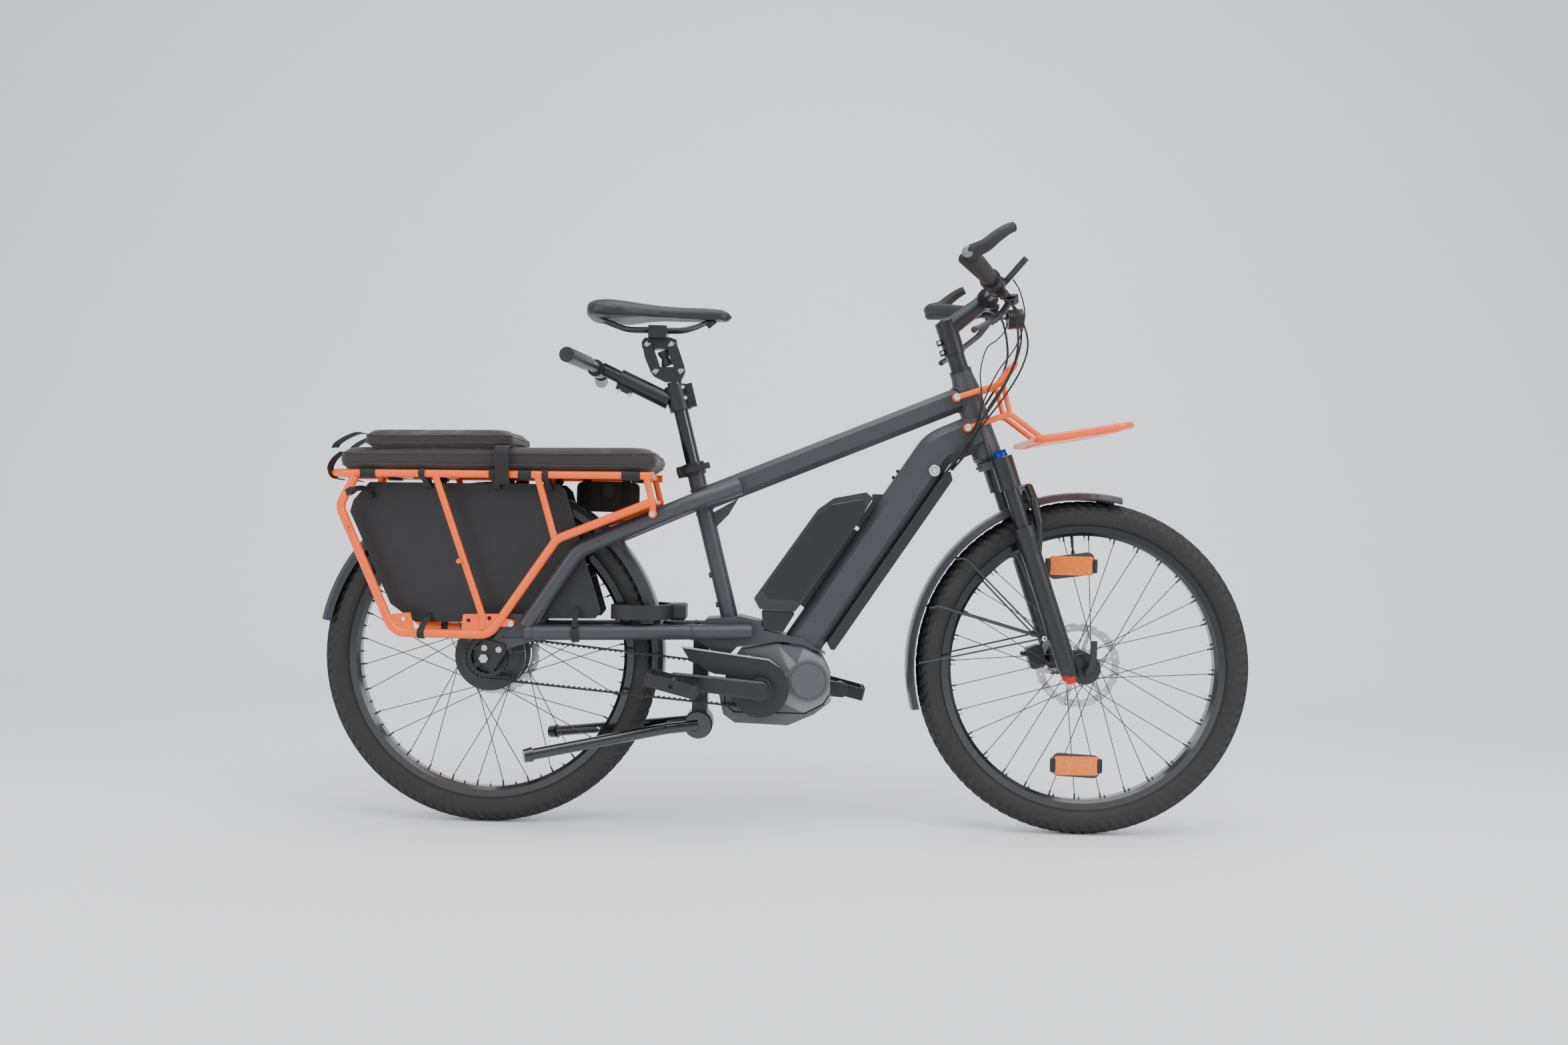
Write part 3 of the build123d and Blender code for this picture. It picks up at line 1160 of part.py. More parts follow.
def ring_lock_case():
    """Horseshoe lock body over the chainstays, round the tyre."""
    body = Cylinder(80, 30) - Cylinder(61, 40)
    body += Pos(78, 0, 0) * fillet(Box(36, 74, 34).edges(), 6) - Cylinder(61, 40)
    body -= Pos(-107, 0, 0) * Box(100, 200, 60)
    body -= Torus(SHACKLE_RING, SHACKLE_DIAMETER / 2 + 0.3)
    body += Pos(70, 0, 0) * (Box(17, 30, 14) & Cylinder(40, 40))
    for side in (-1, 1):
        body += Pos(20, side * 66, -18) * Box(26, 13, 9)
    keyhole = Pos(92, 0, 15) * Cylinder(7, 6)
    return Pos(LOCK_X, 0, LOCK_Z) * (body - keyhole)


def lock_shackle():
    """Round shackle that turns out of the case behind the rim."""
    arc = CenterArc((0, 0, 0), SHACKLE_RING, 25, 104)
    section = Plane(origin=arc @ 0, z_dir=arc % 0) * Circle(SHACKLE_DIAMETER / 2)
    return Pos(LOCK_X, 0, LOCK_Z) * sweep(section, path=arc)


# ------------------------------------------------------------------ seatpost, saddle, stoker bar
LOW_FRONT = (-228.0, 954.0)
LOW_REAR = (-280.0, 952.0)
LINK_VECTOR = (-19.0, 54.4)
LINK_PIN = 8.0


def seatpost_tube():
    """Seatpost with the lower casting of its suspension head."""
    foot = SEATPOST_TOP - SEATPOST_LENGTH
    tube = SEAT * (rod((0, 0, foot), (0, 0, SEATPOST_TOP), SEATPOST_DIAMETER)
                   - rod((0, 0, foot - 1), (0, 0, SEATPOST_TOP - 20), SEATPOST_DIAMETER - 5))
    cast = side_plate([(-226, 933), (-217, 952), (-222, 963), (-240, 962), (-268, 962),
                       (-286, 962), (-291, 950), (-282, 940), (-258, 929)], -15, 15)
    body = joined(tube, cast)
    for x, z in (LOW_FRONT, LOW_REAR):
        body -= cross_rod(x, z, -16, 16, LINK_PIN + 2 * RUNNING)
    return body


def seat_clamp():
    """Collar on top of the seat tube and the lug its lever turns on."""
    collar = ring(SEAT_TUBE_DIAMETER / 2 + 0.1, 23, 75, SEAT_TUBE_TOP)
    collar += ring(SEATPOST_DIAMETER / 2 + 0.3, 23, SEAT_TUBE_TOP + 0.2, 101)
    collar += ring(SEAT_TUBE_DIAMETER / 2 + 0.1, 23, SEAT_TUBE_TOP - 1, SEAT_TUBE_TOP + 0.5)
    collar += block((-37, -9, 76), (-20.5, 9, 100)) \
        - rod((0, 0, 70), (0, 0, 110), 41)
    collar -= rod((-31, -10, 88), (-31, 10, 88), 6.2)
    return SEAT * collar


def seat_clamp_lever():
    """Cam lever lying along the near side of the collar."""
    cam = Pos(-31, -16.3, 88) * Cylinder(6.4, 13)
    lever = band([(-31, -18, 88), (-14, -29, 88), (20, -31, 88), (34, -27, 88)],
                 (0, 0, 1), 13, 5, [14, 20])
    return SEAT * joined(cam, lever)


def seat_clamp_pin():
    """Skewer through the collar's lug, with its nut."""
    return SEAT * joined(rod((-31, -9.2, 88), (-31, 13, 88), 6), rod((-31, 9.3, 88), (-31, 13, 88), 12))


def link(foot):
    """One pair of link plates with its two pins."""
    x, z = foot
    top_x, top_z = x + LINK_VECTOR[0], z + LINK_VECTOR[1]
    outline = [
        (x - 9, z - 4), (x, z - 9), (x + 9, z + 3), (x + 2, z + 26), (top_x + 9, top_z + 4),
        (top_x, top_z + 9), (top_x - 9, top_z - 3), (top_x - 4, top_z - 26),
    ]
    plates = both_sides(side_plate(outline, -20, -15 - APART, 2))
    pins = [cross_rod(x, z, -22, 22, LINK_PIN), cross_rod(top_x, top_z, -22, 22, LINK_PIN)]
    return joined(*plates, *pins)


def seat_head():
    """Upper casting with the saddle clamp."""
    front = (LOW_FRONT[0] + LINK_VECTOR[0], LOW_FRONT[1] + LINK_VECTOR[1])
    rear = (LOW_REAR[0] + LINK_VECTOR[0], LOW_REAR[1] + LINK_VECTOR[1])
    body = side_plate([(-309, 1000), (-304, 995), (-290, 1000), (-252, 1000), (-243, 998),
                       (-236, 1004), (-238, 1020), (-252, 1024), (-305, 1022), (-311, 1012)],
                      -15, 15)
    for x, z in (front, rear):
        body -= cross_rod(x, z, -16, 16, LINK_PIN + 2 * RUNNING)
    body += block((-296, -29, 1021), (-258, 29, 1047))
    for side in (-1, 1):
        body -= rod((-340, side * 22, 1040), (-220, side * 22, 1040), 7 + 2 * RUNNING)
    return body


def elastomer():
    """Waisted rubber spring between the links."""
    spring = turned([(0, -15.6), (12, -15.6), (12, -10), (8, 0), (12, 10), (12, 15.6), (0, 15.6)])
    spring = spring & Box(40, 24, 40)
    return Pos(-261.5, 0, 981) * Rot(0, -19.3, 0) * spring


def saddle():
    """Saddle shell with its padding and the two rails."""
    top = [(-425, 0), (-423, -48), (-410, -74), (-380, -82), (-345, -76), (-305, -52),
           (-265, -33), (-220, -24), (-160, -20), (-134, -16), (-126, 0)]
    curve = Spline(*[(x, y) for x, y in top])
    back = mirror(curve, about=Plane.XZ)
    plan = make_face(Curve() + [curve, back])
    body = Pos(0, 0, 1040) * extrude(plan, 80)
    side_curve = Spline((-428, 1092), (-400, 1099), (-350, 1094), (-290, 1088), (-230, 1087),
                        (-170, 1088), (-122, 1078))
    profile = make_face(Curve() + [
        side_curve,
        Polyline((-122, 1078), (-122, 1060), (-180, 1052), (-300, 1058), (-395, 1050),
                 (-428, 1060), (-428, 1092)),
    ])
    shell = body & extrude(Plane.XZ.offset(-100) * profile, 200)
    shape = shell
    for side in (-1, 1):
        shape += bent_tube([(-400, side * 30, 1060), (-330, side * 22, 1040),
                            (-230, side * 22, 1040), (-160, side * 8, 1062)], 7, [30, 30])
    return shape


def stoker_stem():
    """Clamp on the seatpost with an outer tube pointing back."""
    bore = SEATPOST_DIAMETER + 2 * RUNNING
    collar = rod((0, 0, 214), (0, 0, 268), 46)
    collar += block((14, -12, 216), (36, 12, 266))
    for s in (228, 252):
        collar += rod((27, -17, s), (27, 17, s), 8)
    shape = SEAT * collar
    shape += rod((-251, 0, 891), (-355, 0, 939), 36)
    shape += Pos(-344.5, 0, 917) * Rot(0, 24.8, 0) * Box(34, 22, 20)
    shape -= SEAT * rod((0, 0, 190), (0, 0, 300), bore)
    return shape - rod((-276, 0, 902.54), (-360, 0, 941.31), 27 + 2 * RUNNING)


def stoker_bar():
    """Extending inner tube with the passenger's handlebar and grips."""
    inner = rod((-282, 0, 905.31), (-394, 0, 957.0), 27)
    clamp = cross_rod(-405.6, 956, -20, 20, 36)
    bar = bent_tube([(-428.5, -240, 955), (-412, -120, 956), (-405.6, -40, 956),
                     (-405.6, 40, 956), (-412, 120, 956), (-428.5, 240, 955)], 22.2,
                    [200, 200, 200, 200])
    grips = []
    for side in (-1, 1):
        grips.append(rod((-410.5, side * 100, 956), (-428.9, side * 243, 955), 30))
    return joined(inner, clamp, bar, *grips)


# ------------------------------------------------------------------ all nodes
def main():
    os.makedirs("parts", exist_ok=True)
    save("main_frame", main_frame())
    save("rear_triangle", rear_triangle())
    save("dropout_plates", *dropout_plates())
    save("frame_hardware", *frame_hardware(), seat_clamp(), seat_clamp_pin(),
         *battery_mount())
    save("downtube_cover", downtube_cover())
    save("motor_housing", motor_housing())
    save("motor_covers", *motor_covers())
    save("belt_guard", belt_guard())
    save("drive_belt", drive_belt())
    save("battery_pack", battery_pack())
    save("kickstand_legs", *kickstand_legs())
    save("seat_clamp_lever", seat_clamp_lever())
    save("rear_rack", rear_rack())
    save("spoke_guards", *spoke_guards())
    save("webbing_straps", *webbing_straps())
    save("seat_pad_long", seat_pad_long())
    save("seat_pad_upper", seat_pad_upper())
    save("rear_mudguard", rear_mudguard())
    save("ring_lock_case", ring_lock_case())
    save("lock_shackle", lock_shackle())
    save("front_carrier", front_carrier())
    save("rear_brake_caliper", rear_brake_caliper())
    save("fork_crown", fork_crown())
    save("lockout_knob", lockout_knob())
    save("fork_lowers", *fork_lowers())
    save("front_mudguard", front_mudguard())
    save("front_brake_caliper", front_brake_caliper())
    save("axle_lever", axle_lever())
    save("stem", stem())
    save("handlebar", handlebar())
    near_grip = grip()
    save("grips", *both_sides(*near_grip))
    save("control_mounts", *control_mounts())
    save("control_cables", *control_cables())
    save("headlight", headlight())
    save("right_brake_lever", brake_lever())
    save("left_brake_lever", mirrored(brake_lever()))
    save("twist_shifter", twist_shifter())
    save("front_tyre", tyre(FRONT_WHEEL))
    save("front_rim", rim(FRONT_WHEEL))
    save("front_spokes", *spokes(FRONT_WHEEL, 29, 28, 67.5, -1.9),
         reflector(FRONT_WHEEL, 216, 98), reflector(FRONT_WHEEL, 205, 267))
    save("front_hub", front_hub())
    save("front_rotor", rotor(FRONT_WHEEL, -39, -37, 22.2))
    save("rear_tyre", tyre(REAR_WHEEL))
    save("rear_rim", rim(REAR_WHEEL))
    save("rear_spokes", *spokes(REAR_WHEEL, 70, 27, 45, 5.6))
    save("rear_hub", rear_hub())
    save("rear_rotor", rotor(REAR_WHEEL, -43, -41, 30.2))
    save("rear_sprocket", rear_sprocket())
    save("cranks", cranks())
    save("front_sprocket", front_sprocket())
    save("right_pedal", pedal(-1))
    save("left_pedal", pedal(1))
    save("seatpost_tube", seatpost_tube())
    save("front_link", link(LOW_FRONT))
    save("rear_link", link(LOW_REAR))
    save("seat_head", seat_head())
    save("elastomer", elastomer())
    save("saddle", saddle())
    save("stoker_stem", stoker_stem())
    save("stoker_bar", stoker_bar())


if __name__ == "__main__":
    main()
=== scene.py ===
"""Cargo bicycle: the visible model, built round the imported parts.

Lengths are in metres unless a name ends in _mm.  +X is forward, -Y is the drive side, +Z is up.
"""
import math

import bmesh
import bpy
import numpy as np
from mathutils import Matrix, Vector
from mathutils.bvhtree import BVHTree


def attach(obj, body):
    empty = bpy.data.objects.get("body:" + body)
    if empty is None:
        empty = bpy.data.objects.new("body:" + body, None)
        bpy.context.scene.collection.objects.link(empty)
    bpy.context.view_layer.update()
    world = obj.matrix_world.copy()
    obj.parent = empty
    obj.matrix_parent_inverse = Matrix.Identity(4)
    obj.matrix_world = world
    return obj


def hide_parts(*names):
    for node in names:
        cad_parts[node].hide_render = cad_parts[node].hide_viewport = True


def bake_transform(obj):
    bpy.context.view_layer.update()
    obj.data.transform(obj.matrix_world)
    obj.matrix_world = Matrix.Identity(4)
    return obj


bl_info = {
    "name": "Cargo bicycle",
    "version": (1, 0, 0),
    "blender": (4, 5, 0),
    "location": "View3D > Sidebar > Bicycle",
    "description": "Builds the visible pieces and finishes of a long-tail cargo bicycle",
    "category": "Add Mesh",
}

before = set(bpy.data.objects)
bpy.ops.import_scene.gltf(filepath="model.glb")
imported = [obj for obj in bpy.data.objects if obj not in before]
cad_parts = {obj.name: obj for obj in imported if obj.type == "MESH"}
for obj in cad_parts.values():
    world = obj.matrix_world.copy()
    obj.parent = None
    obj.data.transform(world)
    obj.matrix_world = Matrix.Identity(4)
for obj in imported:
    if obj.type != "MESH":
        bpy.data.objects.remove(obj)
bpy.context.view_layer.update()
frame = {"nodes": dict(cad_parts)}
NODES = frame["nodes"]
MM = 0.001


# ------------------------------------------------------------------ shader expressions
class Wire:
    """A socket that adds Math nodes when it is used in an expression."""

    def __init__(self, finish, socket):
        self.finish = finish
        self.socket = socket

    def _join(self, operation, first, second=None, third=None):
        return self.finish.node("Math", {"operation": operation}, first, second, third)["Value"]

    def __add__(self, other):
        return self._join("ADD", self, other)

    def __radd__(self, other):
        return self._join("ADD", other, self)

    def __sub__(self, other):
        return self._join("SUBTRACT", self, other)

    def __rsub__(self, other):
        return self._join("SUBTRACT", other, self)

    def __mul__(self, other):
        return self._join("MULTIPLY", self, other)

    def __rmul__(self, other):
        return self._join("MULTIPLY", other, self)

    def __truediv__(self, other):
        return self._join("DIVIDE", self, other)

    def __pow__(self, other):
        return self._join("POWER", self, other)

    def sine(self):
        return self._join("SINE", self)

    def clamp(self):
        return self._join("MINIMUM", self._join("MAXIMUM", self, 0.0), 1.0)


class Bench:
    """What a node gives: its outputs by name, each as a Wire."""

    def __init__(self, finish, node):
        self.finish = finish
        self.node = node

    def __getitem__(self, name):
        return Wire(self.finish, self.node.outputs[name])


class Finish:
    """One procedural material, ready to have its pattern wired in."""

    def __init__(self, name, colour, roughness, metallic=0.0, coat=0.0, sheen=0.0):
        self.material = bpy.data.materials.new(name)
        self.material.use_nodes = True
        self.material.diffuse_color = (*colour, 1.0)
        self.tree = self.material.node_tree
        self.shader = self.tree.nodes["Principled BSDF"]
        self.colour = colour
        self.set(**{"Base Color": (*colour, 1.0), "Roughness": roughness, "Metallic": metallic})
        self.set(**{"Coat Weight": coat, "Coat Roughness": 0.08, "Sheen Weight": sheen})
        self._place = None

    def set(self, **values):
        for name, value in values.items():
            self.shader.inputs[name].default_value = value

    def node(self, kind, settings=None, *inputs, **named):
        """Adds a node, sets it up and fills or links its sockets."""
        made = self.tree.nodes.new("ShaderNode" + kind)
        for key, value in (settings or {}).items():
            setattr(made, key, value)
        sockets = list(zip(made.inputs, inputs))
        sockets += [(made.inputs[name], value) for name, value in named.items()]
        for socket, value in sockets:
            self.fill(socket, value)
        return Bench(self, made)

    def fill(self, socket, value):
        if value is None:
            return
        if isinstance(value, Wire):
            self.tree.links.new(value.socket, socket)
        elif socket.type == "RGBA" and len(value) == 3:
            socket.default_value = (*value, 1.0)
        else:
            socket.default_value = value

    def place(self):
        """Object coordinates, in metres."""
        if self._place is None:
            self._place = self.node("TexCoord")["Object"]
        return self._place

    def axes(self):
        """Object X, Y and Z as three wires."""
        split = self.node("SeparateXYZ", None, self.place())
        return split["X"], split["Y"], split["Z"]

    def noise(self, scale, detail=3.0, rough=0.55, where=None):
        where = where or self.place()
        return self.node("TexNoise", None, Vector=where, Scale=scale, Detail=detail,
                         Roughness=rough)["Fac"]

    def stretched(self, scale):
        """Object coordinates scaled by three numbers."""
        return self.node("Mapping", None, Vector=self.place(), Scale=scale)["Vector"]

    def blend(self, factor, first, second):
        """Colour mix."""
        mixed = self.node("Mix", {"data_type": "RGBA"})
        made = mixed.node
        self.fill(made.inputs[0], factor)
        self.fill(made.inputs[6], first)
        self.fill(made.inputs[7], second)
        return Wire(self, made.outputs[2])

    def tint(self, factor, dark=0.8, light=1.2):
        """Base colour that varies between a darker and a lighter tone."""
        tones = [tuple(min(1.0, c * k) for c in self.colour) for k in (dark, light)]
        self.fill(self.shader.inputs["Base Color"], self.blend(factor, *tones))
        return self

    def rough(self, factor, low, high):
        self.fill(self.shader.inputs["Roughness"], factor * (high - low) + low)
        return self

    def bump(self, height, depth_mm, strength=1.0):
        made = self.node("Bump", None, Height=height, Strength=strength, Distance=depth_mm * MM)
        self.fill(self.shader.inputs["Normal"], made["Normal"])
        return self


# ------------------------------------------------------------------ sizes and colours
class BicycleSizes(bpy.types.PropertyGroup):
    tyre_radius: bpy.props.FloatProperty(
        name="Tyre radius", description="Outer radius of both tyres", default=0.35, unit="LENGTH")
    tyre_section: bpy.props.FloatProperty(
        name="Tyre section", description="Radius of the tyre's round section", default=0.0285,
        unit="LENGTH")
    tread_depth: bpy.props.FloatProperty(
        name="Tread depth", description="Depth of the tread grooves", default=0.0032, unit="LENGTH")
    tread_blocks: bpy.props.IntProperty(
        name="Tread blocks", description="Tread blocks round one tyre", default=96)
    pad_swell: bpy.props.FloatProperty(
        name="Pad swell", description="Farthest a point of a pad may bulge", default=0.007,
        unit="LENGTH")
    piping: bpy.props.FloatProperty(
        name="Piping radius", description="Radius of the piping round the pads", default=0.0024,
        unit="LENGTH")
    cable: bpy.props.FloatProperty(
        name="Cable radius", description="Radius of a brake hose", default=0.0025, unit="LENGTH")
    weld: bpy.props.FloatProperty(
        name="Weld radius", description="Half the width of a weld bead", default=0.0028,
        unit="LENGTH")


class BicycleColours(bpy.types.PropertyGroup):
    frame: bpy.props.FloatVectorProperty(
        name="Frame", description="Matte frame paint", default=(0.034, 0.037, 0.042),
        subtype="COLOR")
    rack: bpy.props.FloatVectorProperty(
        name="Racks", description="Gloss paint of both racks", default=(1.0, 0.115, 0.0),
        subtype="COLOR")
    pad: bpy.props.FloatVectorProperty(
        name="Pads", description="Woven cloth of the pads", default=(0.02, 0.0165, 0.0155),
        subtype="COLOR")
    floor: bpy.props.FloatVectorProperty(
        name="Floor", description="Plain floor", default=(0.88, 0.885, 0.9), subtype="COLOR")


# ------------------------------------------------------------------ finishes
FINISHES = {}


def make_finishes():
    """All materials of the bicycle, by a plain name."""
    colours = bpy.context.scene.bicycle_colours
    made = FINISHES

    paint = Finish("frame_paint", tuple(colours.frame), 0.42, coat=0.0)
    grain = paint.noise(2600, 2.0)
    paint.tint(paint.noise(9, 4.0), 0.86, 1.14).rough(paint.noise(60, 4.0), 0.36, 0.5)
    paint.bump(grain, 0.05, 0.35)
    made["frame_paint"] = paint

    rack = Finish("rack_paint", tuple(colours.rack), 0.34, coat=0.25)
    rack.tint(rack.noise(14, 4.0), 0.93, 1.05).rough(rack.noise(90, 3.0), 0.28, 0.4)
    rack.bump(rack.noise(700, 2.0), 0.04, 0.3)
    made["rack_paint"] = rack

    for name, colour, low, high, coat in (
            ("satin_black", (0.009, 0.009, 0.0095), 0.32, 0.46, 0.0),
            ("gloss_black", (0.006, 0.006, 0.0065), 0.12, 0.22, 0.5),
            ("spoke_black", (0.03, 0.03, 0.032), 0.3, 0.42, 0.0)):
        finish = Finish(name, colour, low, coat=coat)
        finish.tint(finish.noise(30, 4.0), 0.8, 1.3).rough(finish.noise(120, 4.0), low, high)
        finish.bump(finish.noise(1800, 2.0), 0.02, 0.25)
        made[name] = finish

    for name, colour, low, high, scale in (
            ("brushed_steel", (0.56, 0.56, 0.55), 0.2, 0.4, (40, 900, 900)),
            ("silver_bolt", (0.66, 0.66, 0.65), 0.16, 0.34, (300, 300, 60)),
            ("stanchion", (0.36, 0.31, 0.26), 0.1, 0.2, (600, 600, 30)),
            ("silver_paint", (0.5, 0.51, 0.52), 0.3, 0.42, (120, 120, 120))):
        finish = Finish(name, colour, low, metallic=1.0)
        streak = finish.noise(1.0, 4.0, where=finish.stretched(scale))
        finish.tint(streak, 0.82, 1.1).rough(streak, low, high)
        finish.bump(streak, 0.02, 0.3)
        made[name] = finish

    for name, colour, low, high, grain_scale, depth in (
            ("black_plastic", (0.0095, 0.0095, 0.01), 0.45, 0.6, 1500, 0.08),
            ("grey_plastic", (0.066, 0.069, 0.074), 0.42, 0.55, 1700, 0.07),
            ("panel_plastic", (0.0125, 0.0125, 0.0135), 0.38, 0.52, 900, 0.1),
            ("battery_plastic", (0.02, 0.0205, 0.022), 0.3, 0.42, 2200, 0.04),
            ("crescent_plastic", (0.16, 0.165, 0.175), 0.36, 0.46, 1800, 0.05)):
        finish = Finish(name, colour, low)
        finish.tint(finish.noise(24, 4.0), 0.82, 1.2)
        finish.rough(finish.noise(200, 4.0), low, high)
        finish.bump(finish.noise(grain_scale, 2.0, 0.7), depth, 0.5)
        made[name] = finish

    guard = Finish("guard_plastic", (0.021, 0.024, 0.028), 0.3, coat=0.12)
    guard.tint(guard.noise(12, 4.0), 0.85, 1.2).rough(guard.noise(80, 3.0), 0.26, 0.4)
    made["guard_plastic"] = guard

    rubber = Finish("soft_rubber", (0.0095, 0.0095, 0.0095), 0.62)
    rubber.tint(rubber.noise(60, 4.0), 0.8, 1.35).rough(rubber.noise(300, 4.0), 0.54, 0.72)
    rubber.bump(rubber.noise(1400, 3.0), 0.08, 0.4)
    made["soft_rubber"] = rubber

    tyre = Finish("tyre_rubber", (0.0115, 0.0112, 0.011), 0.68)
    dust = tyre.noise(26, 5.0, 0.62)
    tyre.tint(dust, 0.72, 1.5).rough(tyre.noise(140, 4.0), 0.58, 0.78)
    tyre.bump(tyre.noise(1100, 3.0), 0.1, 0.4)
    made["tyre_rubber"] = tyre

    vinyl = Finish("saddle_vinyl", (0.01, 0.01, 0.0105), 0.42)
    cells = vinyl.node("TexVoronoi", {"feature": "SMOOTH_F1"}, Vector=vinyl.place(), Scale=620.0)
    vinyl.tint(vinyl.noise(18, 4.0), 0.8, 1.3).rough(vinyl.noise(160, 3.0), 0.36, 0.5)
    vinyl.bump(cells["Distance"], 0.12, 0.45)
    made["saddle_vinyl"] = vinyl

    cloth = Finish("pad_cloth", tuple(colours.pad), 0.86, sheen=0.25)
    x, y, z = cloth.axes()
    warp = (x * 3100.0).sine()
    weft = (y * 3100.0).sine()
    side = (z * 3100.0).sine()
    weave = warp * weft + side * warp * 0.6 + weft * side * 0.4
    slub = cloth.noise(1.0, 3.0, where=cloth.stretched((90, 1400, 900)))
    cloth.tint((weave * 0.22 + slub * 0.8 + cloth.noise(7, 4.0) * 0.5 - 0.2).clamp(), 0.6, 1.65)
    cloth.rough(slub, 0.8, 0.94)
    cloth.bump(weave * 0.5 + slub, 0.35, 0.7)
    made["pad_cloth"] = cloth

    web = Finish("webbing", (0.0085, 0.0085, 0.009), 0.8, sheen=0.1)
    x, y, z = web.axes()
    rib = ((x + z) * 2600.0).sine() * ((y - z) * 2600.0).sine()
    web.tint((rib * 0.3 + 0.5).clamp(), 0.7, 1.5).bump(rib, 0.25, 0.6)
    made["webbing"] = web

    amber = Finish("amber_lens", (0.8, 0.17, 0.003), 0.2, coat=0.3)
    prism = amber.node("TexVoronoi", {"feature": "F1"}, Vector=amber.place(), Scale=260.0)
    amber.tint(prism["Distance"], 0.75, 1.2).bump(prism["Distance"], 0.3, 0.7)
    made["amber_lens"] = amber

    lamp = Finish("lamp_glass", (0.75, 0.76, 0.76), 0.08, coat=0.8)
    lamp.tint(lamp.noise(160, 2.0), 0.75, 1.1).rough(lamp.noise(90, 2.0), 0.05, 0.12)
    made["lamp_glass"] = lamp

    for name, colour in (("blue_anodised", (0.006, 0.04, 0.26)),
                         ("red_anodised", (0.6, 0.015, 0.01))):
        finish = Finish(name, colour, 0.3, metallic=0.7)
        finish.tint(finish.noise(200, 3.0), 0.85, 1.15).rough(finish.noise(300, 2.0), 0.24, 0.36)
        made[name] = finish

    seam = Finish("stitch_thread", (0.03, 0.028, 0.026), 0.8)
    seam.tint(seam.noise(900, 2.0), 0.7, 1.3)
    made["stitch_thread"] = seam


FINISH_NODES = {
    "frame_paint": "main_frame rear_triangle",
    "satin_black": "dropout_plates frame_hardware seat_clamp_lever rear_brake_caliper "
                   "fork_crown fork_lowers front_brake_caliper axle_lever stem handlebar "
                   "headlight right_brake_lever left_brake_lever front_hub rear_hub "
                   "rear_sprocket cranks front_link rear_link seat_head stoker_stem stoker_bar",
    "black_plastic": "downtube_cover belt_guard ring_lock_case control_mounts right_pedal "
                     "left_pedal",
    "grey_plastic": "motor_housing motor_covers",
    "soft_rubber": "drive_belt grips control_cables twist_shifter elastomer",
    "battery_plastic": "battery_pack",
    "gloss_black": "kickstand_legs front_rim rear_rim seatpost_tube",
    "rack_paint": "rear_rack front_carrier",
    "panel_plastic": "spoke_guards",
    "webbing": "webbing_straps",
    "guard_plastic": "rear_mudguard front_mudguard",
    "brushed_steel": "lock_shackle front_rotor rear_rotor",
    "blue_anodised": "lockout_knob",
    "tyre_rubber": "front_tyre rear_tyre",
    "spoke_black": "front_spokes rear_spokes",
    "silver_paint": "front_sprocket",
    "saddle_vinyl": "saddle",
    "pad_cloth": "seat_pad_long seat_pad_upper",
}
NODE_FINISH = {node: finish for finish, nodes in FINISH_NODES.items() for node in nodes.split()}
SPOKES = 32
RAIL_Y = 95.0                    # the rack's rails, from the middle plane, in mm
REAR_AXLE = np.array([-0.6095, 0.0, 0.35])
FRONT_AXLE = np.array([0.6305, 0.0, 0.35])
STEER_FOOT = np.array([571.34, 0.0, 350.0])         # mm, where the steering axis crosses axle height
STEER_DIR = np.array([-0.32227, 0.0, 0.94665])


def dress(obj, *names):
    """Gives an object its finishes, in slot order."""
    obj.data.materials.clear()
    for name in names:
        obj.data.materials.append(FINISHES[name].material)


def face_centres(obj):
    """Centres of a mesh's faces, one row each."""
    centres = np.empty(len(obj.data.polygons) * 3)
    obj.data.polygons.foreach_get("center", centres)
    return centres.reshape(-1, 3)


def repaint(node, rules):
    """Paints parts of a CAD node: each rule is a finish and a test on the face centres in mm."""
    obj = NODES[node]
    dress(obj, NODE_FINISH[node], *[name for name, _ in rules])
    x, y, z = (face_centres(obj) / MM).T
    index = np.zeros(len(x), np.int32)
    for i, (_, test) in enumerate(rules, 1):
        index[test(x, y, z)] = i
    obj.data.polygons.foreach_set("material_index", index)


def near(x, z, centre, radius):
    return np.hypot(x - centre[0], z - centre[1]) < radius


# ------------------------------------------------------------------ mesh helpers
def wrap(points, round_u=False, round_v=False, flip=False):
    """Faces of a grid of points; a round direction joins its last row to its first."""
    rows, columns = points.shape[:2]
    row = np.arange(rows if round_u else rows - 1)
    column = np.arange(columns if round_v else columns - 1)
    i, j = np.meshgrid(row, column, indexing="ij")
    i2, j2 = (i + 1) % rows, (j + 1) % columns
    quads = np.stack([i * columns + j, i2 * columns + j, i2 * columns + j2, i * columns + j2], -1)
    quads = quads.reshape(-1, 4)
    return quads[:, ::-1] if flip else quads


def new_piece(name, parts, body, finish, smooth=True, slots=None):
    """One object from (vertices, faces) parts, riding on a body."""
    vertices, faces, base, index = [], [], 0, []
    for number, (points, quads) in enumerate(parts):
        points = np.asarray(points, float).reshape(-1, 3)
        vertices.append(points)
        faces += [tuple(int(k) + base for k in face) for face in quads]
        index += [slots[number] if slots else 0] * len(quads)
        base += len(points)
    mesh = bpy.data.meshes.new(name)
    mesh.from_pydata(np.concatenate(vertices).tolist(), [], faces)
    mesh.polygons.foreach_set("use_smooth", np.full(len(mesh.polygons), smooth))
    mesh.polygons.foreach_set("material_index", np.array(index, np.int32))
    mesh.update()
    obj = bpy.data.objects.new(name, mesh)
    bpy.context.scene.collection.objects.link(obj)
    dress(obj, *([finish] if isinstance(finish, str) else finish))
    if body:
        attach(obj, body)
    return obj


def lid(points, ring, flip=False):
    """A fan that closes one ring of a grid; adds the ring's middle as a point."""
    centre = len(points)
    middle = points[ring].mean(0)
    count = len(ring)
    order = [(ring[k], ring[(k + 1) % count], centre) for k in range(count)]
    return np.vstack([points, middle]), [face[::-1] for face in order] if flip else order


